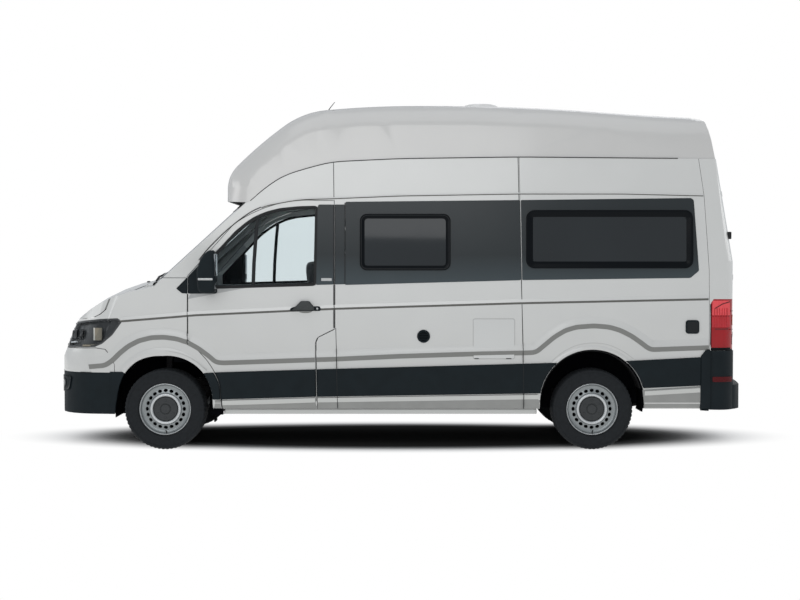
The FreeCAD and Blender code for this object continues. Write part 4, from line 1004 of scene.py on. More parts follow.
# reach of the front arch's opening from its centre, by angle in degrees
OPENING = [(0, 0.4315), (33, 0.4315), (49.5, 0.4234), (66, 0.4115), (90, 0.392), (103, 0.397), (123, 0.408),
    (141, 0.4066), (164, 0.4), (180, 0.405)]
# fold lines that run round the arches, drawn in painted shade: X, Z
ARCH_FOLDS = {
    "front": [(-2.31, 0.7), (-2.254, 0.767), (-2.152, 0.822), (-2.005, 0.846), (-1.857, 0.826), (-1.74, 0.768),
        (-1.64, 0.68)],
    "rear": [(1.29, 0.758), (1.36, 0.822), (1.459, 0.879), (1.54, 0.903), (1.627, 0.913), (1.715, 0.908),
        (1.795, 0.889), (1.9, 0.838), (1.982, 0.777)]}


def opening_radius(angle):
    """Reach of the opening at an angle in degrees."""
    for (a0, r0), (a1, r1) in zip(OPENING, OPENING[1:]):
        if a0 <= angle <= a1:
            return r0 + (r1 - r0) * (angle - a0) / (a1 - a0)
    return OPENING[0][1]


for where, side in SIDES.items():
    path = lip_points(REAR_LIP, 178, 47.0, 40)
    strip(f"arch_lip_rear_{where}", path, LIP_PROFILE, side, SHELL, PAINT, 0.05)
    rows = []
    for k in range(47):
        angle = 143.5 - 110.0 * k / 46
        way = Vector((math.cos(math.radians(angle)), math.sin(math.radians(angle))))
        reach = opening_radius(angle)
        x, z, radius = FRONT_LIP
        far, near = [skin.point(x + way.x * r, z + way.y * r, side, proud) for r,
            proud in ((radius + 0.034, 0.0006), (radius + 0.006, 0.007))]
        row = [far, near]
        for r, sink in ((reach + 0.008, 0.0), (reach + 0.001, 0.002), (reach, 0.008), (reach, 0.04)):
            row.append(Vector((x + way.x * r, near.y - side * sink, z + way.y * r)))
        rows.append(row)
    lofted(f"arch_lip_front_{where}", rows, SHELL, PAINT, loop=False)
    for label, fold in ARCH_FOLDS.items():
        high = 0.0082 if label == "front" else 0.0012
        strip(f"arch_fold_{label}_{where}", softened(fold, 0.06), ridge(0.0026, 0.0, 0.0022, high), side, SHELL,
            FOLD_SHADE_PAINT, 0.04)
    # near-black panels that close the wheel bays towards the middle, painted shade for the dark inside of the
    # bays
    for label, x0, x1, z0, z1, y in (("front_low", -2.58, -2.3, 0.262, 0.66, 0.543),
            ("front_mid", -2.3, -2.15, 0.5, 0.64, 0.543), ("rear_back", 1.97, 2.074, 0.366, 0.62, 0.69),
            ("rear_front", 1.2, 1.32, 0.33, 0.56, 0.69), ("front_back", -1.68, -1.52, 0.3, 0.6, 0.543)):
        side_slab(f"bay_panel_{label}_{where}", (x0, x1), (y, y - 0.006), (z0, z1), side, SHELL, LINER_AND_SHADE, 0.002)
    # upright near-black panel, painted shade, that closes the front bay ahead of the steered tyre
    side_slab(f"bay_front_{where}", (-2.4475, -2.4415), (0.549, 0.868), (0.262, 0.6), side, SHELL, LINER_AND_SHADE, 0.002)
    for label, lip in (("front", FRONT_LIP), ("rear", REAR_LIP)):
        x, z, radius = lip
        rows = []
        for k in range(37):
            angle = math.radians(-12 + 204 * k / 36)
            outer_y = skin.half_width(x + radius * math.cos(angle), max(0.36,
                z + radius * math.sin(angle))) - 0.02
            outer_y = min(outer_y, 0.99)
            # the steered tyre's corners need the lower ends clear
            low = label == "front" and abs(math.sin(angle)) < 0.72
            inner_y, mid_y = (0.85, 0.89) if low else (INNER_Y[label], 0.8)
            ring = []
            for r, y in ((radius - 0.002, outer_y), (radius - 0.012, outer_y - 0.03), (radius - 0.014, mid_y),
                    (radius - 0.02, inner_y)):
                ring.append((x + r * math.cos(angle), side * y, z + r * math.sin(angle)))
            for r, y in ((radius - 0.01, inner_y), (radius - 0.004, mid_y), (radius, outer_y - 0.03)):
                ring.append((x + r * math.cos(angle), side * y, z + r * math.sin(angle)))
            rows.append(ring)
        lofted(f"arch_liner_{label}_{where}", rows, SHELL, LINER_AND_SHADE)
        # upright inner wall above the wheel's travel
        floor_z = {"front": 0.6, "rear": 0.5}[label]
        y = INNER_Y[label]
        rows = []
        for k in range(17):
            angle = math.radians(180 * k / 16)
            px = x + (radius - 0.012) * math.cos(angle)
            top = z + (radius - 0.012) * math.sin(angle)
            top = max(top, floor_z + 0.001)
            rows.append([(px, side * y, floor_z), (px, side * y, top), (px, side * (y - 0.006), top),
                (px, side * (y - 0.006), floor_z)])
        lofted(f"arch_wall_{label}_{where}", rows, SHELL, LINER_AND_SHADE)

# ------------------------------------------------------------------ cab doors: seals, sail, mirror, handle

GLASS_EDGE = [(-1.752, 1.372), (-0.715, 1.402), (-0.7, 2.07), (-0.86, 2.066), (-1.02, 2.05), (-1.13, 2.022),
    (-1.215, 1.983), (-1.3, 1.93), (-1.385, 1.866), (-1.752, 1.47)]
SEAL_PROFILE = [(0.006, 0.001), (0.004, 0.003), (-0.016, 0.0025), (-0.02, -0.002), (-0.02, -0.012),
    (-0.004, -0.012)]
DIVIDER = [(-1.246, 1.384), (-1.238, 1.6), (-1.222, 1.82), (-1.205, 1.99)]
DIVIDER_PROFILE = [(0.015, -0.014), (0.015, -0.003), (0.012, -0.0005), (-0.012, -0.0005), (-0.015, -0.003),
    (-0.015, -0.014)]
SAIL_DOOR = [(-1.7995, 1.331), (-1.56, 1.331), (-1.548, 1.345), (-1.578, 1.704), (-1.7995, 1.473)]
SAIL_WING = [(-1.898, 1.374), (-1.85, 1.334), (-1.803, 1.331), (-1.803, 1.468)]
# height, X0, X1, inner and outer distance of the mirror's housing
MIRROR_STATIONS = [(1.338, -1.64, -1.562, 1.118, 1.205), (1.345, -1.668, -1.548, 1.098, 1.232),
    (1.372, -1.686, -1.541, 1.084, 1.248), (1.45, -1.694, -1.538, 1.078, 1.256),
    (1.54, -1.692, -1.538, 1.077, 1.258), (1.62, -1.664, -1.54, 1.079, 1.254),
    (1.668, -1.63, -1.545, 1.086, 1.24), (1.69, -1.606, -1.556, 1.104, 1.216),
    (1.697, -1.592, -1.566, 1.124, 1.196)]

HANDLE_BASE = [(-0.934, 1.184), (-0.676, 1.184), (-0.67, 1.204), (-0.684, 1.224), (-0.884, 1.224),
    (-0.93, 1.206)]
HANDLE_GRIP = [(-0.918, 1.19), (-0.726, 1.19), (-0.728, 1.222), (-0.752, 1.244), (-0.766, 1.268),
    (-0.842, 1.268), (-0.862, 1.244), (-0.888, 1.218)]


def pod(bm, stations, side, corner=0.034, count=5):
    """Closed body through rounded rectangles stacked in height."""
    rows = []
    for z, x0, x1, y0, y1 in stations:
        radius = min(corner, (x1 - x0) * 0.45, (y1 - y0) * 0.45)
        rows.append([(x, side * y, z) for x, y in round_box(x0, x1, y0, y1, radius, count)])
    lattice(bm, rows)


for where, side in SIDES.items():
    body = DOOR_BODY[where]
    edge_path = softened(GLASS_EDGE, 0.03, True)
    strip(f"glass_seal_{where}", edge_path, SEAL_PROFILE, side, body, BLACK_PARTS_AND_GAP_SHADE, 0.05, True)
    strip(f"glass_divider_{where}", DIVIDER, DIVIDER_PROFILE, side, body, TRIM, 0.06)
    plate(f"sail_{where}", softened(SAIL_DOOR, 0.012, True, 3), side, body, CLADDING, 0.008, 0.01, 0.003)
    plate(f"sail_tip_{where}", softened(SAIL_WING, 0.008, True, 3), side, SHELL, CLADDING, 0.006, 0.004, 0.002)
    bm = bmesh.new()
    pod(bm, MIRROR_STATIONS, side)
    housing = make_piece(f"mirror_housing_{where}", bm, body, CLADDING, 50.0)
    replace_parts(housing, f"mirror_{where}")
    bm = bmesh.new()
    arm = [(1.376, -1.672, -1.575, 0.99, 1.12), (1.384, -1.684, -1.566, 0.99, 1.12),
        (1.424, -1.684, -1.566, 0.99, 1.12), (1.432, -1.672, -1.575, 0.99, 1.12)]
    pod(bm, arm, side, 0.018)
    make_piece(f"mirror_arm_{where}", bm, body, CLADDING, 50.0)
    for label, x1, y, z in (("glass", -1.5372, (1.096, 1.236), (1.48, 1.668)),
            ("wide_glass", -1.539, (1.104, 1.23), (1.374, 1.455))):
        side_slab(f"mirror_{label}_{where}", (-1.55, x1), y, z, side, body, MIRROR_GLASS, 0.003)
    side_slab(f"mirror_flasher_{where}", (-1.68, -1.556), (1.2, 1.259), (1.446, 1.466), side, body, SILVER,
        0.006, 3)
    # pull handle: bowl under it painted darker as shade, low base, humped grip and lock
    bowl = [(-0.868, 1.186), (-0.85, 1.172), (-0.82, 1.166), (-0.78, 1.166), (-0.752, 1.173), (-0.738, 1.186)]
    plate(f"handle_bowl_{where}", softened(bowl, 0.006, True, 3), side, body, LEDGE_SHADE_PAINT, 0.0022, 0.001, 0.001)
    plate(f"handle_base_{where}", softened(HANDLE_BASE, 0.009, True, 3), side, body, CLADDING, 0.01, 0.001,
        0.004)
    plate(f"handle_grip_{where}", softened(HANDLE_GRIP, 0.014, True, 4), side, body, HANDLE_GREY, 0.034, -0.006,
        0.01)
    plate(f"handle_lock_{where}", circle(-0.701, 1.2035, 0.0085, 18), side, body, SILVER, 0.0125, -0.008, 0.001)
    plate(f"post_badge_{where}", round_box(-0.668, -0.578, 1.438, 1.462, 0.004), side, body, SILVER, 0.0055,
        -0.002, 0.0012)

# ------------------------------------------------------------------ covers and fittings on the sides

VENT_CENTRE = (0.2, 0.969)
VENT_RING = [(0.0, -0.002), (0.0, 0.006), (-0.004, 0.009), (-0.012, 0.009), (-0.016, 0.004), (-0.016, -0.002)]
FLAP = (0.62, 0.974, 0.776, 1.118)
COVER = (2.422, 2.537, 0.991, 1.106)
x, z = VENT_CENTRE
strip("heater_vent_ring", circle(x, z, 0.055, 40), VENT_RING, LEFT, SHELL, CLADDING, 0.02, True)
plate("heater_vent_back", circle(x, z, 0.04, 30), LEFT, SHELL, LINER_AND_SHADE, 0.002, 0.001, 0.0)
for k in range(5):
    level = z - 0.028 + 0.014 * k
    half = math.sqrt(0.04 ** 2 - (level - z) ** 2)
    strip(f"heater_vent_slat_{k}", [(x - half, level), (x + half, level)],
        [(0.003, 0.004), (0.0035, 0.006), (-0.003, 0.007), (-0.003, 0.004)], LEFT, SHELL, CLADDING)
flap_edge = round_box(*FLAP, 0.018)
plate("service_flap", round_box(FLAP[0] + 0.004, FLAP[1] - 0.004, FLAP[2] + 0.004, FLAP[3] - 0.004, 0.016),
    LEFT, SHELL, FLAP_PAINT, 0.003, 0.001, 0.0015)
# the flap's gap in painted shade
strip("service_flap_gap", flap_edge, [(0.002, 0.0012), (-0.0025, 0.0012), (-0.0025, -0.001), (0.002, -0.001)],
    LEFT, SHELL, FOLD_SHADE_PAINT, 0.08, True)
for x0, x1 in ((0.632, 0.668), (0.9, 0.945)):
    strip(f"service_flap_hinge_{round(x0 * 1000)}", [(x0, 0.779), (x1, 0.779)],
        [(0.004, 0.004), (-0.003, 0.004), (-0.004, -0.001), (0.004, -0.001)], LEFT, SHELL, BLACK_PARTS_AND_GAP_SHADE)
plate("socket_cover", round_box(*COVER, 0.024), LEFT, SHELL, CLADDING, 0.014, 0.002, 0.006)
plate("socket_cover_lid", round_box(COVER[0] + 0.012, COVER[1] - 0.012, COVER[2] + 0.012, COVER[3] - 0.012,
    0.016), LEFT, SHELL, TRIM, 0.018, 0.0, 0.003)

GAP_PROFILE = ridge(0.0028, -0.001, 0.0028, 0.0008)
# painted shade: dark line from the mirror up the windscreen pillar to the drip rail
PILLAR_LINE = [(-1.705, 1.615), (-1.637, 1.703), (-1.488, 1.853), (-1.366, 1.954), (-1.258, 2.029),
    (-1.165, 2.07)]
DRIP = [(-1.18, 2.064), (-1.122, 2.085), (-0.905, 2.125), (-0.8, 2.1355), (-0.569, 2.1415), (0.0, 2.165),
    (1.003, 2.182), (1.895, 2.182), (2.572, 2.166)]
DRIP_PROFILE = [(0.006, 0.0004), (0.005, 0.004), (-0.003, 0.008), (-0.006, 0.002), (-0.006, -0.001),
    (0.006, -0.001)]
DRIP_SHADE = [(-0.003, 0.007), (-0.006, 0.006), (-0.011, 0.0006), (-0.011, -0.001), (-0.003, -0.001)]
# lower edge of the roof cap: X, Z
CAP_SEAM = [(-1.27, 2.118), (-1.139, 2.232), (-0.978, 2.338), (-0.705, 2.418), (-0.557, 2.45), (0.0, 2.476),
    (1.003, 2.49), (2.36, 2.478)]
# seams of the steel side above the doors, drawn as painted shade lines: X, Z at their ends
SEAMS = {
    "post": [(-0.5605, 2.146), (-0.564, 2.44)],
    "mid": [(1.008, 2.186), (1.002, 2.484)],
    "mid_low": [(1.044, 0.9), (1.008, 2.178)]}
# painted shade: dark lines beside the cab door's gap, on the shell and on the door
DOOR_LINES = {
    "wing": (SHELL, [(-1.8045, 0.936), (-1.8045, 1.326)]),
    "front": ("door", [(-1.799, 0.938), (-1.799, 1.326)]),
    "arch": ("door", [(-1.799, 0.936), (-1.745, 0.88), (-1.69, 0.822), (-1.638, 0.764), (-1.59, 0.692),
        (-1.553, 0.62), (-1.519, 0.545), (-1.511, 0.358)]),
    "post": ("door", [(-0.5635, 1.04), (-0.5635, 1.404)]),
    "side": (SHELL, [(-0.5515, 1.04), (-0.5515, 1.404)]),
    "notch": ("door", [(-0.712, 0.358), (-0.718, 0.916), (-0.7, 0.958), (-0.565, 1.026)])}
for where, side in SIDES.items():
    for label, (body, path) in DOOR_LINES.items():
        ride = body_of(body, where)
        strip(f"door_line_{label}_{where}", softened(path, 0.02), GAP_PROFILE, side, ride, GAP_SHADE_LINE, 0.06)
for where, side in SIDES.items():
    strip(f"drip_rail_{where}", softened(DRIP, 0.05), DRIP_PROFILE, side, SHELL, PAINT, 0.06)
    strip(f"drip_shade_{where}", softened(DRIP, 0.05), DRIP_SHADE, side, SHELL, SHADE_PAINT, 0.06)
    strip(f"cap_seam_{where}", softened(CAP_SEAM, 0.12), ridge(0.004, -0.001, 0.0034, 0.0012), side, SHELL,
        GAP_SHADE_LINE, 0.04)
    strip(f"pillar_line_{where}", softened(PILLAR_LINE, 0.06), ridge(0.0048, -0.001, 0.004, 0.003), side, SHELL,
        GAP_SHADE_LINE, 0.04)
    for label, ride, path, high in (("post_sill", SHELL, [(-0.53, 0.352), (-0.5325, 0.452)], 0.0102),
            ("post_cladding", SHELL, [(-0.5325, 0.455), (-0.5375, 0.692)], 0.017),
            ("post_swage", SHELL, [(-0.5375, 0.692), (-0.54, 0.86)], 0.0104),
            ("post_skin", SHELL, [(-0.54, 0.86), (-0.545, 1.04)], 0.001), ("arch_cladding", DOOR_BODY[where],
            [(-1.5735, 0.664), (-1.548, 0.611), (-1.5295, 0.556), (-1.5235, 0.44)], 0.015),
            ("arch_sill", DOOR_BODY[where], [(-1.5235, 0.44), (-1.5145, 0.354)], 0.008)):
        strip(f"long_seam_{label}_{where}", path, ridge(0.0024, -0.001, 0.0024, high), side, ride, BLACK_PARTS_AND_GAP_SHADE)
    for label, path in SEAMS.items():
        strip(f"seam_{label}_{where}", path, GAP_PROFILE, side, SHELL, GAP_SHADE_LINE, 0.06)

# ------------------------------------------------------------------ sills and mud flaps

# covers of the sills: body, outline, corner radius, finish, height, border
SILL_COVERS = {
    "sill_door": ("door", [(-1.512, 0.353), (-0.71, 0.353), (-0.719, 0.448), (-1.516, 0.425)], 0.004, SILL,
        0.006, 0.003),
    "sill_side": (SHELL, [(-0.7, 0.353), (1.184, 0.353), (1.19, 0.476), (-0.702, 0.448)], 0.004, SILL, 0.006,
        0.003),
    "sill_tail": (SHELL, [(2.079, 0.356), (2.556, 0.356), (2.556, 0.543), (2.06, 0.513)], 0.004, SILL, 0.005,
        0.003),
    "sill_wing": (SHELL, [(-1.58, 0.353), (-1.528, 0.353), (-1.528, 0.424), (-1.572, 0.422)], 0.0, SILL, 0.005,
        0.002),
    "wing_toe": (SHELL, [(-1.612, 0.299), (-1.506, 0.299), (-1.506, 0.3515), (-1.596, 0.3515)], 0.0, LINER_AND_SHADE,
        0.005, 0.002)}
for where, side in SIDES.items():
    for label, (body, outline, corner, finish, proud, border) in SILL_COVERS.items():
        outline = softened(outline, corner, True, 2) if corner else outline
        plate(f"{label}_{where}", outline, side, body_of(body, where), finish, proud, 0.002, border)
    strip(f"swage_gap_wing_{where}", [(-1.8047, 0.898), (-1.8047, 1.01)], ridge(0.0028, 0.0, 0.0028, 0.0104),
        side, SHELL, GAP_SHADE_LINE)
    # gaps beside the window band, painted shade
    strip(f"band_gap_door_{where}", [(-0.56, 1.408), (-0.56, 2.084)],
        [(0.004, -0.001), (0.0038, 0.0046), (-0.0045, 0.0046), (-0.0045, -0.001)], side, DOOR_BODY[where], BLACK_PARTS_AND_GAP_SHADE)
    strip(f"band_gap_post_{where}", [(-0.552, 1.408), (-0.552, 2.084)],
        [(0.0025, -0.001), (0.0025, 0.0046), (-0.0013, 0.0046), (-0.0015, -0.001)], side, SHELL, BLACK_PARTS_AND_GAP_SHADE)
    # pale upper edge of the sills and the seam across cladding and sill
    for label, ride, path in (("door", DOOR_BODY[where], [(-1.51, 0.407), (-0.72, 0.43)]),
            ("side", SHELL, [(-0.7, 0.43), (1.186, 0.458)]), ("tail", SHELL, [(2.078, 0.488), (2.548, 0.516)])):
        strip(f"sill_edge_{label}_{where}", path, [(0.015, 0.004), (0.013, 0.0095), (-0.013, 0.0085),
            (-0.024, 0.0062), (-0.024, 0.004)], side, ride, SILL_PAINT)
    strip(f"cladding_seam_{where}", [(1.052, 0.352), (1.046, 0.738)], ridge(0.0022, 0.0, 0.0022, 0.0168), side,
        SHELL, BLACK_PARTS_AND_GAP_SHADE)
    strip(f"swage_seam_{where}", [(1.0455, 0.745), (1.044, 0.905)], ridge(0.0022, 0.0, 0.0022, 0.01), side,
        SHELL, GAP_SHADE_LINE)
    side_slab(f"sill_flange_front_{where}", (-1.495, 1.164), (0.966, 0.872), (0.3045, 0.3455), side, SHELL,
        SILL_PAINT, 0.006, 3)
    for label, x, z0, z1, y in (("front", -1.578, 0.235, 0.47, 0.85), ("rear", 2.068, 0.385, 0.56, 0.76)):
        side_slab(f"mud_flap_{label}_{where}", (x - 0.006, x + 0.006), (0.985, y), (z0, z1), side, SHELL, LINER_AND_SHADE,
            0.005, 2)

# ------------------------------------------------------------------ surfaces seen from ahead, behind, above

REACH = -edge_of("bumper_front", 0, 0)


class Facing:
    """Surface read as depth over (Y, Z), for details that follow the nose, screen or tail."""

    def __init__(self, depth, out):
        self.depth = depth
        self.out = out

    def point(self, y, z, side, proud=0.0):
        """Point at a place seen square on, moved outwards by proud."""
        h = 0.004
        along = (self.depth(y + h, z) - self.depth(y - h, z)) / (2 * h)
        up = (self.depth(y, z + h) - self.depth(y, z - h)) / (2 * h)
        normal = Vector((1.0, -along, -up)).normalized() * self.out
        place = Vector((self.depth(y, z), y, z)) + normal * proud
        furthest = REACH - 0.0006 + min(max(proud, 0.0), 0.012) * 0.04
        return Vector((max(-furthest, min(furthest, place.x)), side * place.y, place.z))


# depth taken where no ray meets the surface
TAIL_DEPTH = 2.6


class Depth:
    """Depth of a surface: read once along one level, then leaned with height."""

    def __init__(self, names, out, level, lean, lean_z):
        self.tree = tree_of(*names)
        self.out, self.level, self.lean, self.lean_z = out, level, lean, lean_z
        self.known = {}

    def __call__(self, y, z):
        key = round(min(max(abs(y), 0.012), 0.985), 3)
        if key not in self.known:
            hits = [self.tree.ray_cast(Vector((4.0 * self.out, -key + d, self.level)),
                Vector((-self.out, 0, 0)), 3.0)[0] for d in (0.0, 0.008, -0.008)]
            found = [hit.x * self.out for hit in hits if hit]
            self.known[key] = max(found) * self.out if found else TAIL_DEPTH * self.out
        return self.known[key] + self.lean * max(0.0, z - self.lean_z)


# bow of the windscreen at its half width
SCREEN_BOW, SCREEN_HALF = 0.105, 0.88


def screen_depth(y, z):
    """Outer face of the windscreen."""
    return -2.16 + 1.099 * (z - 1.446) + SCREEN_BOW * (y / SCREEN_HALF) ** 2


# the nose's depth is read at one height and leans back above another
NOSE_LEVEL, NOSE_LEAN, NOSE_LEAN_Z = 0.7, 0.4, 0.78
NOSE = Facing(Depth(["bumper_front"], -1, NOSE_LEVEL, NOSE_LEAN, NOSE_LEAN_Z), -1)
TAIL = Facing(Depth(["rear_door_left", "rear_frame"], 1, 1.2, -0.17, 1.6), 1)
SCREEN = Facing(screen_depth, -1)
bonnet_tree = tree_of("bonnet", "wing_left")


def bonnet_point(x, y, proud=0.0):
    """Point on top of the bonnet."""
    def top(px, py):
        hit = bonnet_tree.ray_cast(Vector((px, -abs(py), 2.4)), Vector((0, 0, -1)), 2.0)[0]
        return hit.z if hit else 1.0
    h = 0.01
    slope_x = (top(x + h, y) - top(x - h, y)) / (2 * h)
    slope_y = (top(x, y + h) - top(x, y - h)) / (2 * h)
    return Vector((x, y, top(x, y))) + Vector((-slope_x, -slope_y, 1)).normalized() * proud


# ------------------------------------------------------------------ grille and bumper

# horizontal bars of the grille stand a little proud of it; one is bright
GRILLE_BARS = [(0.874, TRIM), (0.919, TRIM), (0.965, SILVER), (1.011, TRIM), (1.053, TRIM)]
BAR_PROFILE = [(0.007, -0.004), (0.007, 0.0035), (0.004, 0.0075), (-0.004, 0.0075), (-0.007, 0.0035),
    (-0.007, -0.004)]
for index, (level, finish) in enumerate(GRILLE_BARS):
    strip(f"grille_bar_{index}", [(-0.548, level), (0.548, level)], BAR_PROFILE, RIGHT, SHELL, finish, 0.04,
        on=NOSE)


def fins(name, rows, across, pitch, half, depth, finish):
    """Upright fins behind the slots of a grille: rows of Z from and to, one mesh."""
    bm = bmesh.new()
    for z0, z1 in rows:
        y = across[0]
        while y < across[1]:
            corners = []
            for z in (z0, z1):
                front = NOSE.point(y, z, RIGHT, -depth[0])
                back = NOSE.point(y, z, RIGHT, -depth[1])
                corners += [(front.x, y - half, z), (front.x, y + half, z), (back.x, y + half, z),
                    (back.x, y - half, z)]
            made = [bm.verts.new(corner) for corner in corners]
            for quad in ((0, 1, 2, 3), (4, 5, 6, 7), (0, 1, 5, 4), (1, 2, 6, 5), (2, 3, 7, 6), (3, 0, 4, 7)):
                bm.faces.new([made[k] for k in quad])
            y += pitch
    return make_piece(name, bm, SHELL, finish)


fins("grille_fins", [(0.882, 0.917), (0.928, 0.963), (0.974, 1.009), (1.02, 1.055)], (-0.52, 0.52), 0.04,
    0.0016, (0.006, 0.02), TRIM)
fins("intake_fins", [(0.44, 0.5), (0.52, 0.58)], (-0.425, 0.425), 0.017, 0.0014, (0.005, 0.018), TRIM)
plate("radiator_core", round_box(-0.5, 0.5, 0.4, 1.05, 0.02), RIGHT, SHELL, LINER_AND_SHADE, -0.075, 0.082, 0.0, on=NOSE)
for level in (0.455, 0.47, 0.485, 0.535, 0.55, 0.565):
    strip(f"intake_wire_{round(level * 1000)}", [(-0.428, level), (0.428, level)],
        ridge(0.0013, -0.018, 0.0013, -0.006), RIGHT, SHELL, TRIM, 0.08, on=NOSE)
for label, outline, finish, proud, depth, border in (("plate_holder_front",
        round_box(-0.27, 0.27, 0.598, 0.722, 0.006), TRIM, 0.01, 0.002, 0.003),
        ("plate_blank_front", round_box(-0.26, 0.26, 0.605, 0.715, 0.008), PLATE_WHITE, 0.0125, -0.006, 0.001),
        ("bumper_break", [(-0.93, 0.652), (0.93, 0.652), (0.93, 0.658), (-0.93, 0.658)], BLACK_PARTS_AND_GAP_SHADE, 0.001, 0.001,
        0.0)):
    plate(label, outline, RIGHT, SHELL, finish, proud, depth, border, on=NOSE)
for where, side in SIDES.items():
    recess = softened([(0.585, 0.47), (0.8, 0.5), (0.824, 0.612), (0.6, 0.612)], 0.018, True)
    plate(f"fog_recess_{where}", recess, side, SHELL, TRIM, 0.0022, 0.001, 0.0015, on=NOSE)
    ring = circle(0.69, 0.552, 0.04, 30)
    plate(f"fog_lens_{where}", ring, side, SHELL, LAMP_SMOKE, 0.0045, 0.001, 0.003, on=NOSE)
    plate(f"fog_glass_{where}", [(0.69 + (y - 0.69) * 0.9, 0.552 + (z - 0.552) * 0.9) for y, z in ring], side,
        SHELL, LENS, 0.0075, -0.004, 0.003, on=NOSE)
    strip(f"fog_edge_{where}", recess, ridge(0.003, 0.0, 0.002, 0.006), side, SHELL, CLADDING, 0.04, True,
        on=NOSE)
strip("tow_cap_line", circle(0.5, 0.626, 0.026, 24), GAP_PROFILE, RIGHT, SHELL, BLACK_PARTS_AND_GAP_SHADE, 0.02, True, on=NOSE)

# ------------------------------------------------------------------ headlamps

LAMP_SIDE = [(-2.915, 0.862), (-2.61, 0.876), (-2.545, 0.903), (-2.457, 0.977), (-2.374, 1.089), (-2.41, 1.117),
    (-2.56, 1.109), (-2.69, 1.095), (-2.915, 1.057)]


def inside(point, outline):
    """Whether a point lies in a closed outline."""
    x, z = point
    crossed = False
    for (x0, z0), (x1, z1) in zip(outline, outline[1:] + outline[:1]):
        if (z0 > z) != (z1 > z) and x < x0 + (z - z0) / (z1 - z0) * (x1 - x0):
            crossed = not crossed
    return crossed


def corner_plan(count):
    """Plan of the nose's corner at bumper height, from beside the grille to the wing."""
    front = [(NOSE.depth(y, NOSE_LEVEL), y) for y in [0.565 + 0.35 * k / count for k in range(count + 1)]]
    back = front[-1]
    for k in range(1, count + 1):
        x = back[0] + (-2.355 - back[0]) * k / count
        front.append((x, skin.half_width(max(x, -2.6), 0.8)))
    return front


def lamp_rows(side, proud, shrink, columns=7):
    """Rows of points over the lamp's face, each upright."""
    plan = corner_plan(14)
    rows = []
    for index, (x, y) in enumerate(plan):
        ahead = plan[min(index + 1, len(plan) - 1)]
        behind = plan[max(index - 1, 0)]
        away = Vector((behind[1] - ahead[1], ahead[0] - behind[0], 0)).normalized()
        levels = [0.84 + 0.002 * k for k in range(150)]
        kept = [z for z in levels if inside((x + NOSE_LEAN * (z - NOSE_LEAN_Z), z), LAMP_SIDE)]
        if len(kept) < 12:
            continue
        low, high = kept[0] + shrink, kept[-1] - shrink
        row = []
        for k in range(columns + 1):
            z = low + (high - low) * k / columns
            lift = proud if 0 < k < columns else proud - 0.004
            row.append((x + NOSE_LEAN * (z - NOSE_LEAN_Z) + away.x * lift, side * (y + away.y * lift), z))
        rows.append(row)
    return rows


def barrel(bm, centre, axis, profile, segments=28):
    """Surface turned about an axis through centre; profile is (radius, along)."""
    axis = Vector(axis).normalized()
    one = axis.orthogonal().normalized()
    two = axis.cross(one)
    rows = []
    for k in range(segments):
        turn = 2 * math.pi * k / segments
        way = one * math.cos(turn) + two * math.sin(turn)
        rows.append([Vector(centre) + way * r + axis * along for r, along in profile])
    return lattice(bm, rows, False, True)


PROJECTOR = [(0.0, -0.012), (0.02, -0.01), (0.029, -0.002), (0.03, 0.004)]
PROJECTOR_RING = [(0.03, -0.004), (0.033, -0.01), (0.04, -0.008), (0.042, 0.006), (0.03, 0.006)]
for where, side in SIDES.items():
    lofted(f"lamp_lens_{where}", lamp_rows(side, 0.0015, 0.006), SHELL, LENS, 60.0, False)
    for number, (x, y, z) in enumerate(((-2.845, 0.66, 0.965), (-2.796, 0.77, 0.975))):
        for label, profile, finish, sharp in (("ring", PROJECTOR_RING, LAMP_SMOKE, 40.0),
                ("bulb", PROJECTOR, PANE_DARK, 60.0)):
            bm = bmesh.new()
            barrel(bm, (x, side * y, z), (1, 0, 0), profile)
            make_piece(f"lamp_{label}_{number}_{where}", bm, SHELL, finish, sharp)
    # upright drum with a bright and a dull half
    for label, start, turn, finish in (("front", 160, 75, LAMP_CREAM), ("back", 235, 80, LAMP_BRONZE)):
        rows = []
        for k in range(9):
            angle = math.radians(start + turn * k / 8)
            out = (math.cos(angle) * 0.047, -math.sin(angle) * 0.047)
            rows.append([(-2.583 + out[0], side * (0.88 + out[1]), z) for z in (0.929, 0.934, 1.031, 1.036)])
        lofted(f"lamp_drum_{label}_{where}", rows, SHELL, finish, 40.0, loop=False)
    side_slab(f"lamp_step_{where}", (-2.72, -2.54), (0.84, 0.906), (0.876, 0.892), side, SHELL, LAMP_BRONZE,
        0.003)
    strip(f"lamp_day_light_{where}", [(0.58, 0.905), (0.7, 0.905), (0.79, 0.915)],
        ridge(0.0045, -0.03, 0.0045, -0.012), side, SHELL, DAY_LIGHT, 0.03, on=NOSE)

# ------------------------------------------------------------------ bonnet, cowl, windscreen, wipers

for where, side in SIDES.items():
    slab(f"washer_{where}", (-2.262, side * 0.34 - 0.018, bonnet_point(-2.25, 0.34).z - 0.002),
        (-2.236, side * 0.34 + 0.018, bonnet_point(-2.25, 0.34).z + 0.01), "bonnet_lid", TRIM, 0.004)

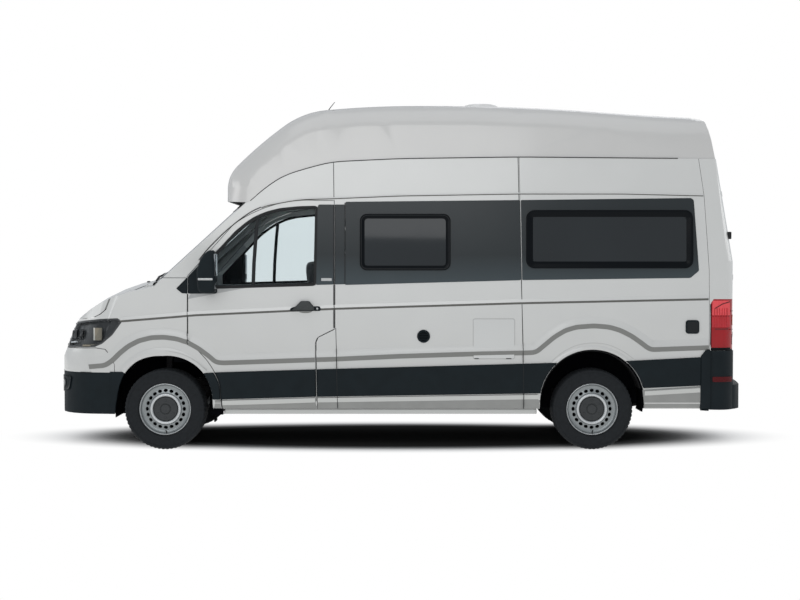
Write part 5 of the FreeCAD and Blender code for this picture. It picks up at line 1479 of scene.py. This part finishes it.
COWL_PROFILE = [(-2.188, 1.408), (-2.184, 1.43), (-2.165, 1.442), (-2.135, 1.444)]
rows = []
for k in range(25):
    y = -0.87 + 1.74 * k / 24
    bow = SCREEN_BOW * (y / SCREEN_HALF) ** 2
    drop = 0.03 * (y / SCREEN_HALF) ** 2
    rows.append([(x + bow * 0.9 * (x + 2.3) / 0.16, y, z - drop * 0.5) for x, z in COWL_PROFILE])
lofted("cowl_panel", rows, SHELL, TRIM, 40.0, loop=False)
frame_path = round_box(-0.85, 0.85, 1.478, 2.07, 0.07, 8)
strip("screen_band", frame_path, ridge(0.03, 0.0003, 0.03, 0.0012), RIGHT, SHELL, FRIT, 0.05, True, on=SCREEN)
plate("screen_sensor", round_box(-0.075, 0.075, 1.965, 2.052, 0.02), RIGHT, SHELL, FRIT, 0.0014, -0.0004,
    0.0002, on=SCREEN)
# pivot, elbow and tip of the arm: Y, Z, height above the glass
WIPERS = {
    "left": [(-0.64, 1.43, 0.004), (-0.56, 1.456, 0.016), (-0.19, 1.486, 0.012)],
    "right": [(0.07, 1.43, 0.004), (0.15, 1.456, 0.016), (0.5, 1.486, 0.012)]}
for where, stations in WIPERS.items():
    bm = bmesh.new()
    path = [SCREEN.point(y, z, RIGHT, lift) for y, z, lift in stations]
    swept(bm, path, [0.013, 0.01, 0.006], 8)
    tip = stations[-1]
    blade = [SCREEN.point(tip[0] + d, tip[1] + 0.02 * d, RIGHT, 0.009) for d in (-0.31, -0.2, -0.05, 0.1, 0.24)]
    swept(bm, blade, [0.005, 0.008, 0.01, 0.008, 0.005], 6)
    base = SCREEN.point(stations[0][0], stations[0][1], RIGHT, -0.01)
    barrel(bm, base, (-1, 0, 1.0), [(0.0, 0.018), (0.016, 0.016), (0.022, 0.01), (0.022, -0.02)], 16)
    make_piece(f"wiper_{where}", bm, SHELL, TRIM, 40.0)

# ------------------------------------------------------------------ tail: lamps, reflectors, plate, hinges


class SideOf(Skin):
    """Half width read from a few nodes alone."""

    def __init__(self, *names):
        self.tree = tree_of(*names)
        self.straight = (1.0, 0.0)
        self.known = {}


CORNER = SideOf("tail_lamp_left", "rear_bumper")
LAMP_BACK = Facing(Depth(["tail_lamp_left"], 1, 1.1, 0.0, 9.0), 1)
# upright ribs in the middle field of the tail lamp: X
RIBS = [2.668 + 0.021 * k for k in range(6)]
for where, side in SIDES.items():
    for label, z0, ends, z1, corner, finish, proud, border in (
            ("upper", 1.146, (2.8, 2.65), 1.272, 0.008, LAMP_PINK, 0.0024, 0.0012),
            ("middle", 1.046, (2.802, 2.646), 1.136, 0.006, LAMP_ROSE, 0.0016, 0.001)):
        field = softened([(2.646, z0), (2.802, z0), (ends[0], z1), (ends[1], z1)], corner, True, 3)
        plate(f"tail_field_{label}_{where}", field, side, SHELL, finish, proud, 0.001, border, (0.03, 0.07),
            on=CORNER)
    for index, x in enumerate(RIBS):
        strip(f"tail_rib_{index}_{where}", [(x, 1.052), (x, 1.206)], ridge(0.004, 0.001, 0.002, 0.0052), side,
            SHELL, LAMP_ROSE, 0.04, on=CORNER)
    for label, path, profile, finish, step in (
            ("line", [(2.672, 1.03), (2.786, 1.03)], ridge(0.0042, 0.0, 0.0036, 0.0026), LAMP_DEEP, 0.03),
            ("slash", [(2.672, 1.206), (2.735, 1.243), (2.799, 1.262)], ridge(0.0045, 0.001, 0.0036, 0.0044),
            LAMP_DEEP, 0.02),
            ("edge", [(2.6365, 0.864), (2.6365, 1.279)], ridge(0.0045, 0.0, 0.0036, 0.003), FRAME_BLACK, 0.04)):
        strip(f"tail_{label}_{where}", path, profile, side, SHELL, finish, step, on=CORNER)
    bm = bmesh.new()
    foot = [(x, CORNER.half_width(x, 0.87) + 0.0015) for x in [2.6225 + 0.0154 * k for k in range(13)]]
    lattice(bm, [[(x, side * (y - 0.02), 0.872), (x, side * y, 0.8715), (x, side * y, 0.8465),
        (x, side * (y - 0.02), 0.846)] for x, y in foot])
    make_piece(f"tail_foot_{where}", bm, SHELL, FRAME_BLACK)
    for label, z0, z1, finish in (("reverse", 0.895, 0.985, LAMP_CLEAR), ("flasher", 1.06, 1.15, LAMP_AMBER)):
        plate(f"tail_{label}_{where}", round_box(0.912, 0.956, z0, z1, 0.01), side, SHELL, finish, 0.0022,
            0.001, 0.0012, on=LAMP_BACK)
    for index, level in enumerate((1.025, 1.182)):
        strip(f"tail_back_line_{index}_{where}", [(0.93, level), (1.0, level)],
            ridge(0.0035, 0.0, 0.003, 0.0024), side, SHELL, LAMP_DEEP, 0.03, on=LAMP_BACK)
    plate(f"side_reflector_{where}", round_box(2.65, 2.822, 0.582, 0.626, 0.006), side, SHELL, REFLECTOR_RED,
        0.004, 0.001, 0.0016, (0.018, 0.07), on=CORNER)
    # dark catch on the corner beside the rear leaf
    side_slab(f"leaf_catch_{where}", (2.77, 2.822), (0.958, 0.918), (1.794, 1.856), side, SHELL, BLACK_PARTS_AND_GAP_SHADE, 0.006, 3)

BUMPER_BACK = Facing(Depth(["rear_bumper"], 1, 0.72, 0.0, 9.0), 1)
for where, side in SIDES.items():
    plate(f"back_reflector_{where}", round_box(0.74, 0.9, 0.7, 0.74, 0.006), side, SHELL, REFLECTOR_RED, 0.003,
        0.001, 0.0012, on=BUMPER_BACK)
    body = {"left": "rear_door_left_body", "right": "rear_door_right_body"}[where]
    # window: rubber, dark edge print and demister wires
    frame_edge = round_box(0.15, 0.8, 1.5, 2.03, 0.06)
    strip(f"rear_glass_seal_{where}", frame_edge, [(0.008, 0.0005), (0.006, 0.0045), (-0.01, 0.0045),
        (-0.014, 0.0015), (-0.014, -0.004), (0.008, -0.002)], side, body, BLACK_PARTS_AND_GAP_SHADE, 0.06, True, on=TAIL)
    plate(f"rear_glass_print_{where}", round_box(0.166, 0.784, 1.516, 2.014, 0.05), side, body, PANE_DARK,
        0.0016, 0.001, 0.0008, on=TAIL)
    for index in range(9):
        level = 1.575 + 0.048 * index
        strip(f"demister_{index}_{where}", [(0.195, level), (0.755, level)],
            ridge(0.0007, 0.0014, 0.0007, 0.002), side, body, LAMP_BRONZE, 0.14, on=TAIL)
    # raised fields of the leaf, above and below its plate
    for label, z0, z1, corner, proud, border in (("panel", 1.1, 1.41, 0.035, 0.0045, 0.004),
            ("foot", 0.69, 0.86, 0.03, 0.004, 0.0035)):
        plate(f"leaf_{label}_{where}", round_box(0.105, 0.815, z0, z1, corner), side, body, PAINT, proud, 0.001,
            border, on=TAIL)
    for index, level in enumerate((0.98, 1.47, 2.18)):
        strip(f"leaf_hinge_{index}_{where}", [(0.8, level), (0.882, level)], ridge(0.024, -0.001, 0.021, 0.006),
            side, body, PAINT, 0.02, on=TAIL)
    # the gap between the leaves, painted shade
    plate(f"middle_gap_{where}", [(0.0035, 0.566), (0.0062, 0.566), (0.0062, 2.324), (0.0035, 2.324)], side,
        body, BLACK_PARTS_AND_GAP_SHADE, 0.0008, 0.001, 0.0, on=TAIL)
# handle and lock on the right leaf, blank plate on the left one
for label, outline, finish, proud, depth, border in (
        ("rear_handle_bowl", round_box(0.06, 0.262, 1.215, 1.3, 0.022), TRIM, 0.0055, 0.001, 0.003),
        ("rear_handle_grip", round_box(0.07, 0.205, 1.246, 1.286, 0.014), HANDLE_GREY, 0.024, -0.01, 0.008),
        ("rear_handle_lock", circle(0.236, 1.24, 0.012, 18), SILVER, 0.0085, -0.004, 0.001)):
    plate(label, outline, RIGHT, "rear_door_right_body", finish, proud, depth, border, on=TAIL)
for label, outline, finish, proud, depth, border in (
        ("plate_holder_rear", round_box(0.14, 0.69, 0.905, 1.035, 0.008), TRIM, 0.006, 0.001, 0.002),
        ("plate_blank_rear", round_box(0.152, 0.678, 0.914, 1.026, 0.008), PLATE_WHITE, 0.0085, -0.004, 0.001),
        ("plate_lamp_bar", round_box(0.3, 0.53, 1.045, 1.072, 0.008), TRIM, 0.016, 0.001, 0.006)):
    plate(label, outline, LEFT, "rear_door_left_body", finish, proud, depth, border, on=TAIL)
plate("high_stop_lamp", round_box(-0.15, 0.15, 2.372, 2.404, 0.008), RIGHT, SHELL, LAMP_RED, 0.01, 0.001, 0.004,
    on=Facing(Depth(["rear_frame"], 1, 2.4, 0.0, 9.0), 1))

# ------------------------------------------------------------------ roof: vent lid, aerial

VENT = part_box("roof_vent")
VENT_X, VENT_Y = (VENT[0][0], VENT[1][0]), VENT[1][1]
rows = []
for z, grow, radius in ((2.905, 0.0, 0.03), (2.94, 0.0, 0.03), (2.956, -0.001, 0.032), (2.962, -0.008, 0.034),
        (2.9625, -0.016, 0.034), (2.966, -0.016, 0.034), (2.968, -0.006, 0.045), (2.98, -0.004, 0.048),
        (2.992, -0.008, 0.052), (3.006, -0.018, 0.056), (3.018, -0.034, 0.06), (3.027, -0.058, 0.062),
        (3.0325, -0.088, 0.06), (3.035, -0.118, 0.048), (3.0358, -0.15, 0.018)):
    rows.append([(x, y, z) for x, y in round_box(VENT_X[0] - grow, VENT_X[1] + grow, -VENT_Y - grow,
        VENT_Y + grow, radius, 6)])
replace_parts(lofted("vent_lid", rows, SHELL, VENT_WHITE, 50.0), "roof_vent")
bm = bmesh.new()
foot = (-0.64, -0.56, 2.88)
barrel(bm, foot, (0.15, 0, 1), [(0.022, 0.0), (0.022, 0.022), (0.016, 0.034), (0.006, 0.042), (0.0, 0.043)], 20)
swept(bm, [(-0.636, -0.56, 2.915), (-0.604, -0.56, 2.96), (-0.572, -0.56, 2.998)], [0.0046, 0.0034, 0.0026], 8)
make_piece("roof_aerial", bm, SHELL, TRIM, 40.0)

# ------------------------------------------------------------------ right side: sliding door

strip("slide_rail_right", [(0.735, 1.232), (2.06, 1.264)], ridge(0.0115, -0.001, 0.01, 0.0066), RIGHT, SHELL,
    BLACK_PARTS_AND_GAP_SHADE, 0.08)
strip("slide_rail_lip", [(0.735, 1.24), (2.06, 1.272)], ridge(0.005, 0.004, 0.004, 0.01), RIGHT, SHELL, PAINT,
    0.08)
SLIDE = 0.452
plate("slide_handle_base", softened([(x + SLIDE, z) for x, z in HANDLE_BASE], 0.009, True, 3), RIGHT, SHELL,
    CLADDING, 0.01, 0.001, 0.004)
plate("slide_handle_grip", softened([(x + SLIDE, z) for x, z in HANDLE_GRIP], 0.014, True, 4), RIGHT, SHELL,
    HANDLE_GREY, 0.034, -0.006, 0.01)
GLASS_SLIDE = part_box("sliding_glass")
edge_path = round_box(GLASS_SLIDE[0][0], GLASS_SLIDE[1][0], GLASS_SLIDE[0][2], GLASS_SLIDE[1][2], 0.06)
strip("slide_window_frame", edge_path, [(0.012, -0.002), (0.01, 0.008), (-0.004, 0.012), (-0.028, 0.01),
    (-0.034, 0.004), (-0.034, -0.01), (0.012, -0.01)], RIGHT, SHELL, FRAME_BLACK, 0.08, True)

# ------------------------------------------------------------------ cab: seats, dash; units, worktop and bed of the living space


def cushion(name, centre, half, power, crown, finish, lean=0.0):
    """Closed pad: a rounded block whose faces are crowned and whose sides pull in."""
    bm = bmesh.new()
    bmesh.ops.create_cube(bm, size=2.0)
    bmesh.ops.subdivide_edges(bm, edges=bm.edges[:], cuts=9, use_grid_fill=True)
    for vert in bm.verts:
        p = vert.co.copy()
        size = (abs(p.x) ** power + abs(p.y) ** power + abs(p.z) ** power) ** (1.0 / power)
        p = p / size
        swell = 1.0 + crown * (1 - p.x * p.x) * (1 - p.y * p.y)
        p = Vector((p.x * half[0], p.y * half[1], p.z * half[2] * swell))
        # two sewn channels along the pad
        dip = sum(math.exp(-((p.y / half[1]) * 9.0 - s * 4.6) ** 2 * 1.6) for s in (-1, 1))
        away = 1 if p.z > 0 else 0
        p.z -= 0.012 * dip * away
        turned = Vector((p.x * math.cos(lean) + p.z * math.sin(lean), p.y,
            -p.x * math.sin(lean) + p.z * math.cos(lean)))
        vert.co = turned + Vector(centre)
    made = make_piece(name, bm, SHELL, finish, 80.0)
    return made


SEATS = {"left": -0.43, "right": 0.43}
seat_parts = []
for where, y in SEATS.items():
    seat_parts.append(slab(f"seat_box_{where}", (-1.27, y - 0.19, 0.565), (-0.9, y + 0.19, 0.81), SHELL, TRIM,
        0.012, 3))
    cushion(f"seat_pad_{where}", (-1.105, y, 0.895), (0.245, 0.24, 0.085), 4.0, 0.22, SEAT, math.radians(-5))
    cushion(f"seat_back_{where}", (-0.722, y, 1.262), (0.345, 0.235, 0.06), 4.2, 0.2, SEAT, math.radians(-101))
    cushion(f"seat_rest_{where}", (-0.652, y, 1.69), (0.085, 0.13, 0.044), 3.4, 0.18, SEAT, math.radians(-98))
    bm = bmesh.new()
    for shift in (-0.06, 0.06):
        swept(bm, [(-0.668, y + shift, 1.56), (-0.654, y + shift, 1.66)], 0.006, 8)
    make_piece(f"rest_posts_{where}", bm, SHELL, CHROME)
    for index, shift in enumerate((-0.235, 0.235)):
        slab(f"arm_rest_{index}_{where}", (-1.1, y + shift - 0.024, 1.11), (-0.8, y + shift + 0.024, 1.15),
            SHELL, SEAT, 0.016, 4)
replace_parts(seat_parts[0], "cab_seats")
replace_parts(seat_parts[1], "cab_seats")
DASH_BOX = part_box("dash")
slab("dash_hood", (DASH_BOX[0][0] + 0.19, -0.62, 1.3), (DASH_BOX[1][0] - 0.01, -0.25, 1.398), SHELL, DASH, 0.03,
    4)
slab("dash_screen", (DASH_BOX[1][0] - 0.012, -0.125, 1.165), (DASH_BOX[1][0] - 0.001, 0.125, 1.32), SHELL,
    PANE_DARK, 0.005, 3)
for index, y in enumerate((-0.8, -0.19, 0.19, 0.8)):
    slab(f"dash_vent_{index}", (DASH_BOX[1][0] - 0.012, y - 0.05, 1.23),
        (DASH_BOX[1][0] - 0.0012, y + 0.05, 1.3), SHELL, TRIM, 0.008, 3)
slab("glove_lid", (DASH_BOX[1][0] - 0.014, 0.28, 1.04), (DASH_BOX[1][0] - 0.001, 0.76, 1.19), SHELL, DASH,
    0.006, 3)
for index, (x0, x1, z0, z1) in enumerate(((-0.17, 0.2, 0.62, 1.02), (0.22, 0.58, 0.62, 1.02),
        (0.6, 0.97, 0.62, 1.02), (-0.17, 0.38, 1.05, 1.38), (0.41, 0.97, 1.05, 1.38))):
    slab(f"unit_front_{index}", (x0, -0.424, z0), (x1, -0.4115, z1), SHELL, LINING, 0.006, 3)
    slab(f"unit_pull_{index}", ((x0 + x1) / 2 - 0.05, -0.413, z1 - 0.035),
        ((x0 + x1) / 2 + 0.05, -0.406, z1 - 0.022), SHELL, SILVER, 0.003, 3)
slab("worktop", (-0.199, -0.938, 1.4505), (0.998, -0.412, 1.47), SHELL, WOOD, 0.006, 3)
cushion("bed_pad", (1.895, 0.0, 1.185), (0.74, 0.9, 0.065), 9.0, 0.05, LINING)
